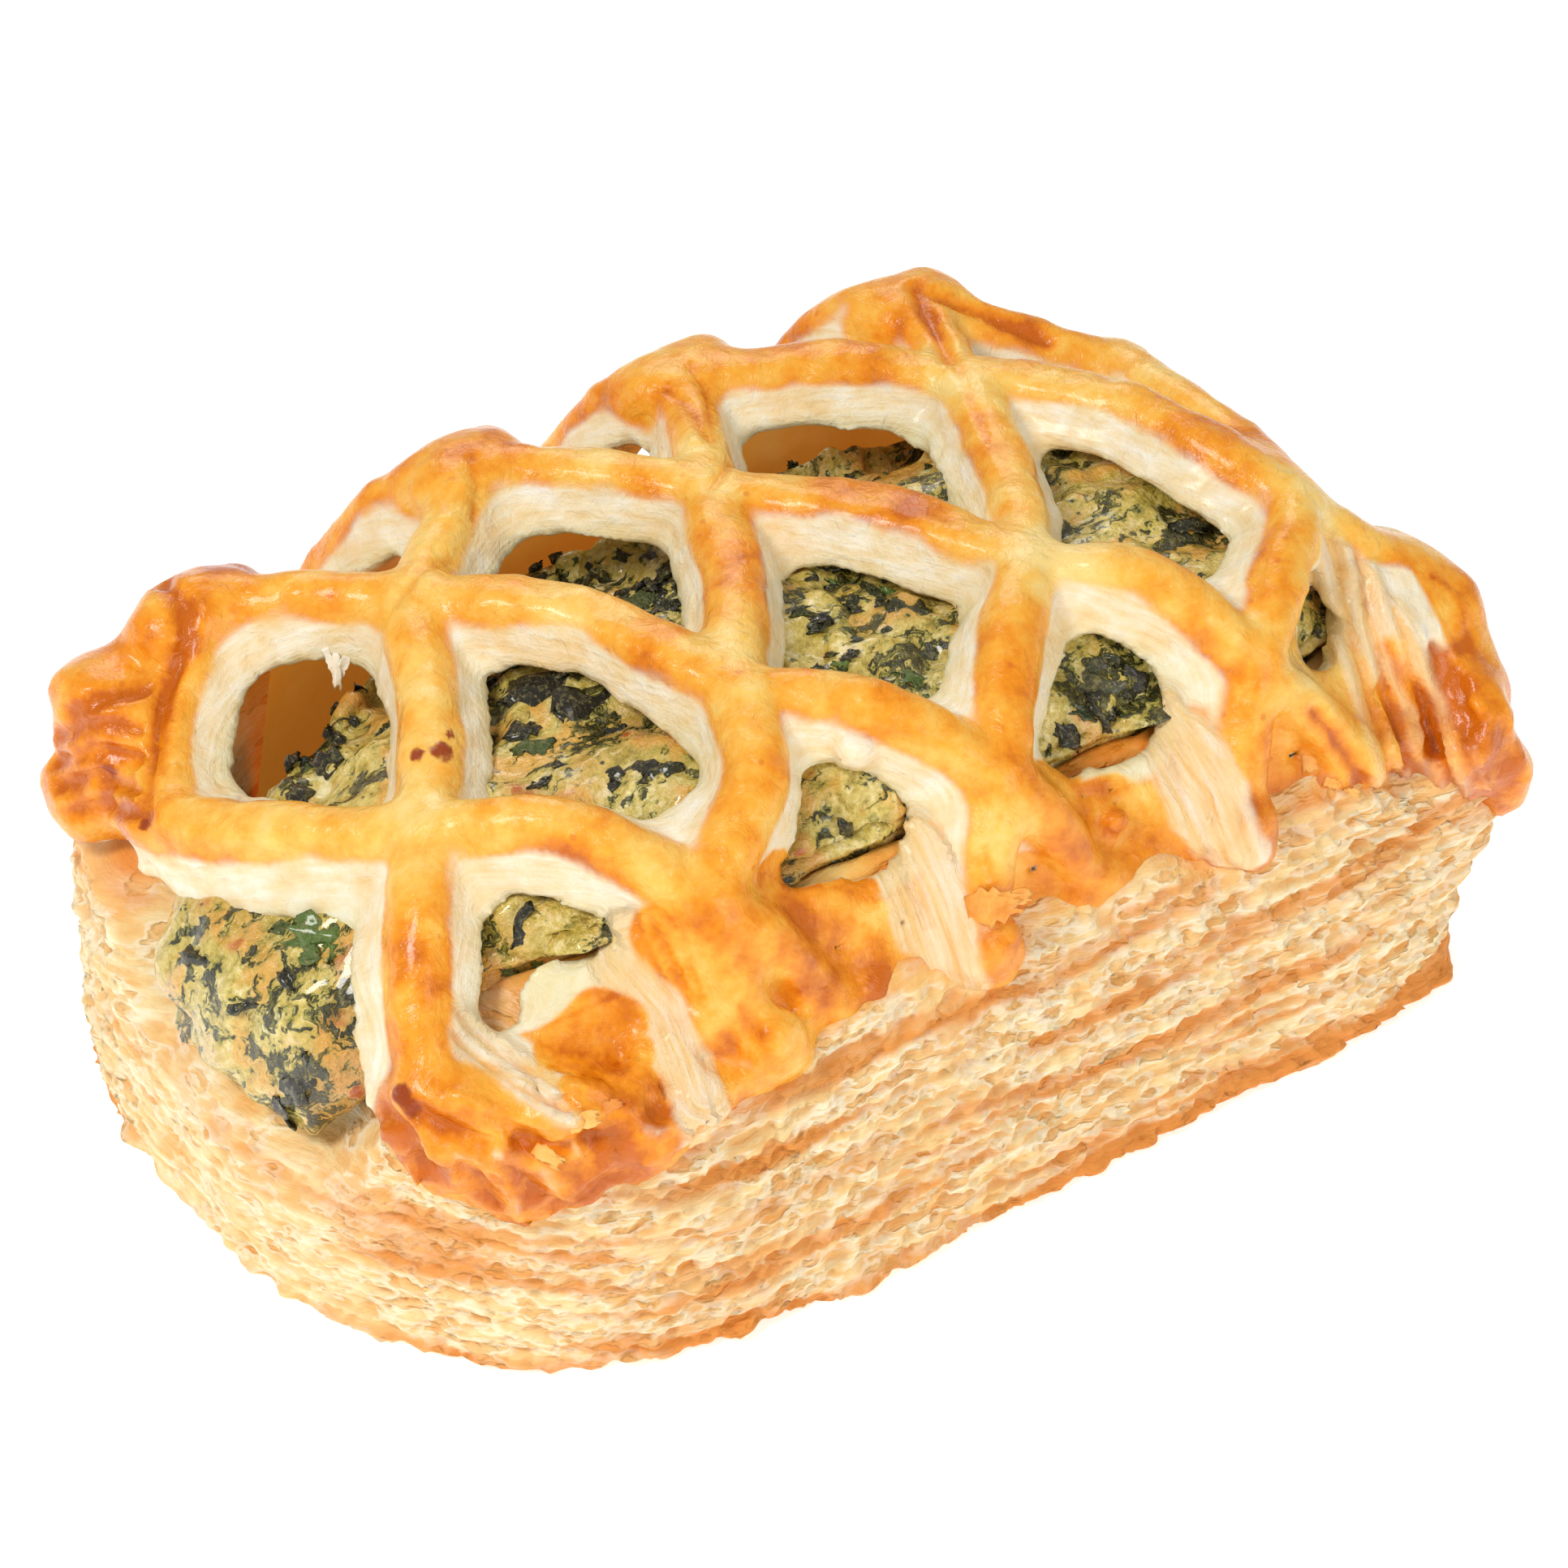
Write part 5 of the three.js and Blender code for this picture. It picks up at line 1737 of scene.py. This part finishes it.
def plate(tree, px, py, direction, length, width, turn_up, rng, thickness=flake_thickness):
    """A thin, curled, ragged flake that lies on a surface, its near end touching."""
    base, normal = surface_at(tree, px, py)
    if base is None:
        return None
    along = unit(direction - normal * np.dot(direction, normal))
    across = np.cross(normal, along)
    count = 9
    u, v = np.meshgrid(np.linspace(0, 1, count), np.linspace(-1, 1, count), indexing="ij")
    outline = (0.8 + 0.2 * np.sin(math.pi * u)) * (1.0 + 0.30 * rng.uniform(-1, 1, (count, 1)))
    reach = u * length * (1.0 + 0.12 * rng.uniform(-1, 1, (1, count)))
    lift = turn_up * u ** 1.6 + 0.16 * length * 0.3 * np.sin(3.0 * v + rng.uniform(0, 6)) * u + 0.12
    sideways = v * outline * 0.5 * width
    points = base + reach[..., None] * along + sideways[..., None] * across + lift[..., None] * normal
    return sheet_of(points, thickness, normal)


# Flakes: place in the photograph, the way they point (right, up), length, width and curl
flakes = [
    [1192, 1122, 1.0, 0.22, 4.4, 2.6, 0.35], [1215, 1106, 1.0, 0.05, 3.2, 1.2, 0.4],
    [700, 1388, 1.0, 0.4, 2.2, 1.3, 0.5], [658, 1414, 1.0, -0.7, 2.2, 1.3, 0.6],
    [736, 1370, 1.0, 0.3, 1.8, 1.0, 0.5], [604, 1500, 1.0, -0.4, 1.2, 0.9, 0.4],
    [622, 1520, 1.0, 0.6, 1.1, 0.8, 0.4], [1604, 940, 1.0, 0.1, 2.0, 1.6, 0.5],
    [1632, 962, 1.0, -0.3, 1.3, 0.9, 0.4], [1655, 975, 1.0, 0.2, 1.2, 0.9, 0.4],
    [1290, 1130, 1.0, 0.4, 1.8, 0.9, 0.4], [1710, 965, 1.0, 0.3, 1.6, 1.0, 0.5],
    [1740, 985, 1.0, 0.5, 1.4, 1.0, 0.5], [1770, 1000, 1.0, 0.2, 1.4, 0.9, 0.4],
    [760, 1462, 1.0, 0.55, 3.0, 0.8, 0.4], [700, 1505, 1.0, 0.6, 2.8, 0.8, 0.4],
]
strands = [[400, 812, 1.2], [414, 818, 1.8], [428, 822, 1.0], [441, 836, 1.5]]


def build_flakes(tree):
    """Loose flakes and lifted skin, and the few torn strands that hang in the far-left cell."""
    rng = np.random.default_rng(97)
    parts = []
    for px, py, right, up, length, width, curl in flakes:
        made = plate(tree, px, py, picture_direction(right, up), length, width, curl, rng)
        if made is not None:
            parts.append(made)
    for px, py, length in strands:
        down = picture_direction(rng.uniform(-0.5, 0.5), -1.0)
        made = plate(tree, px, py - 14, down, length + 1.0, 0.7, 0.2, rng, strand_thickness)
        if made is not None:
            parts.append(made)
    vertices, quads = merge(parts)
    tones = np.append(rng.uniform(0.3, 1.1, len(parts) - len(strands)), np.full(len(strands), -0.45))
    shade = np.repeat(tones, [len(v) for v, _ in parts])
    return make_object("pastry_flakes", vertices, quads, flake_material(), {"shade": shade})


# Stage, light and camera

def build_stage():
    corners = [(-1.6, -1.6, 0), (1.6, -1.6, 0), (1.6, 1.6, 0), (-1.6, 1.6, 0)]
    mesh = bpy.data.meshes.new("floor")
    mesh.from_pydata(corners, [], [(0, 1, 2, 3)])
    s = Shader("floor_white")
    s.set(Base_Color=(0.9, 0.9, 0.9, 1.0))
    s.set(Roughness=0.9)
    s.set(Emission_Color=(1.0, 1.0, 1.0, 1.0))
    s.set(Emission_Strength=0.55)
    mesh.materials.append(s.material)
    floor = bpy.data.objects.new("floor", mesh)
    bpy.context.scene.collection.objects.link(floor)


def aim(thing, target):
    direction = unit(np.array(target) - np.array(thing.location))
    heading = math.atan2(direction[1], direction[0]) - math.pi / 2
    tilt = math.asin(direction[2]) + math.pi / 2
    thing.rotation_euler = (tilt, 0.0, heading)


def build_light(name, place_mm, size_mm, watts, shade):
    lamp = bpy.data.lights.new(name, "AREA")
    lamp.shape = "RECTANGLE"
    lamp.size = size_mm[0] * 0.001
    lamp.size_y = size_mm[1] * 0.001
    lamp.energy = watts
    lamp.color = shade
    thing = bpy.data.objects.new(name, lamp)
    thing.location = [p * 0.001 for p in place_mm]
    aim(thing, [0.0, 0.0, 0.02])
    bpy.context.scene.collection.objects.link(thing)


def build_lights():
    world = bpy.data.worlds.new("studio")
    world.use_nodes = True
    sky = world.node_tree.nodes["Background"].inputs
    sky["Color"].default_value = (1.0, 1.0, 1.0, 1.0)
    sky["Strength"].default_value = 0.40
    bpy.context.scene.world = world
    build_light("key", (-330, -60, 420), (130, 130), 1.32, (1.0, 0.98, 0.95))
    build_light("front", (60, -500, 240), (300, 240), 0.75, (1.0, 0.99, 0.97))
    build_light("back", (200, 380, 380), (260, 200), 0.60, (1.0, 1.0, 1.0))
    bpy.context.scene.view_settings.view_transform = "Standard"


def build_camera():
    lens = bpy.data.cameras.new("camera")
    lens.sensor_width = sensor_width
    lens.lens = focal_pixels / frame_pixels * sensor_width
    lens.clip_start = 0.01
    lens.clip_end = 10.0
    camera = bpy.data.objects.new("camera", lens)
    camera.location = (camera_target + camera_distance * towards_camera) * 0.001
    camera.rotation_euler = (math.pi / 2 - elevation, 0.0, azimuth)
    bpy.context.scene.collection.objects.link(camera)
    bpy.context.scene.camera = camera


build_camera()
build_lights()
build_stage()
lid, lid_tree = build_lid()
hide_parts("lattice_lid")
case = build_case()
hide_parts("pastry_case")
filling, filling_vertices, filling_quads, filling_normals = build_filling()
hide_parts("filling")
build_inner_crust()
build_leaves(filling_vertices, filling_quads, filling_normals, lid_tree)
build_flakes(lid_tree)
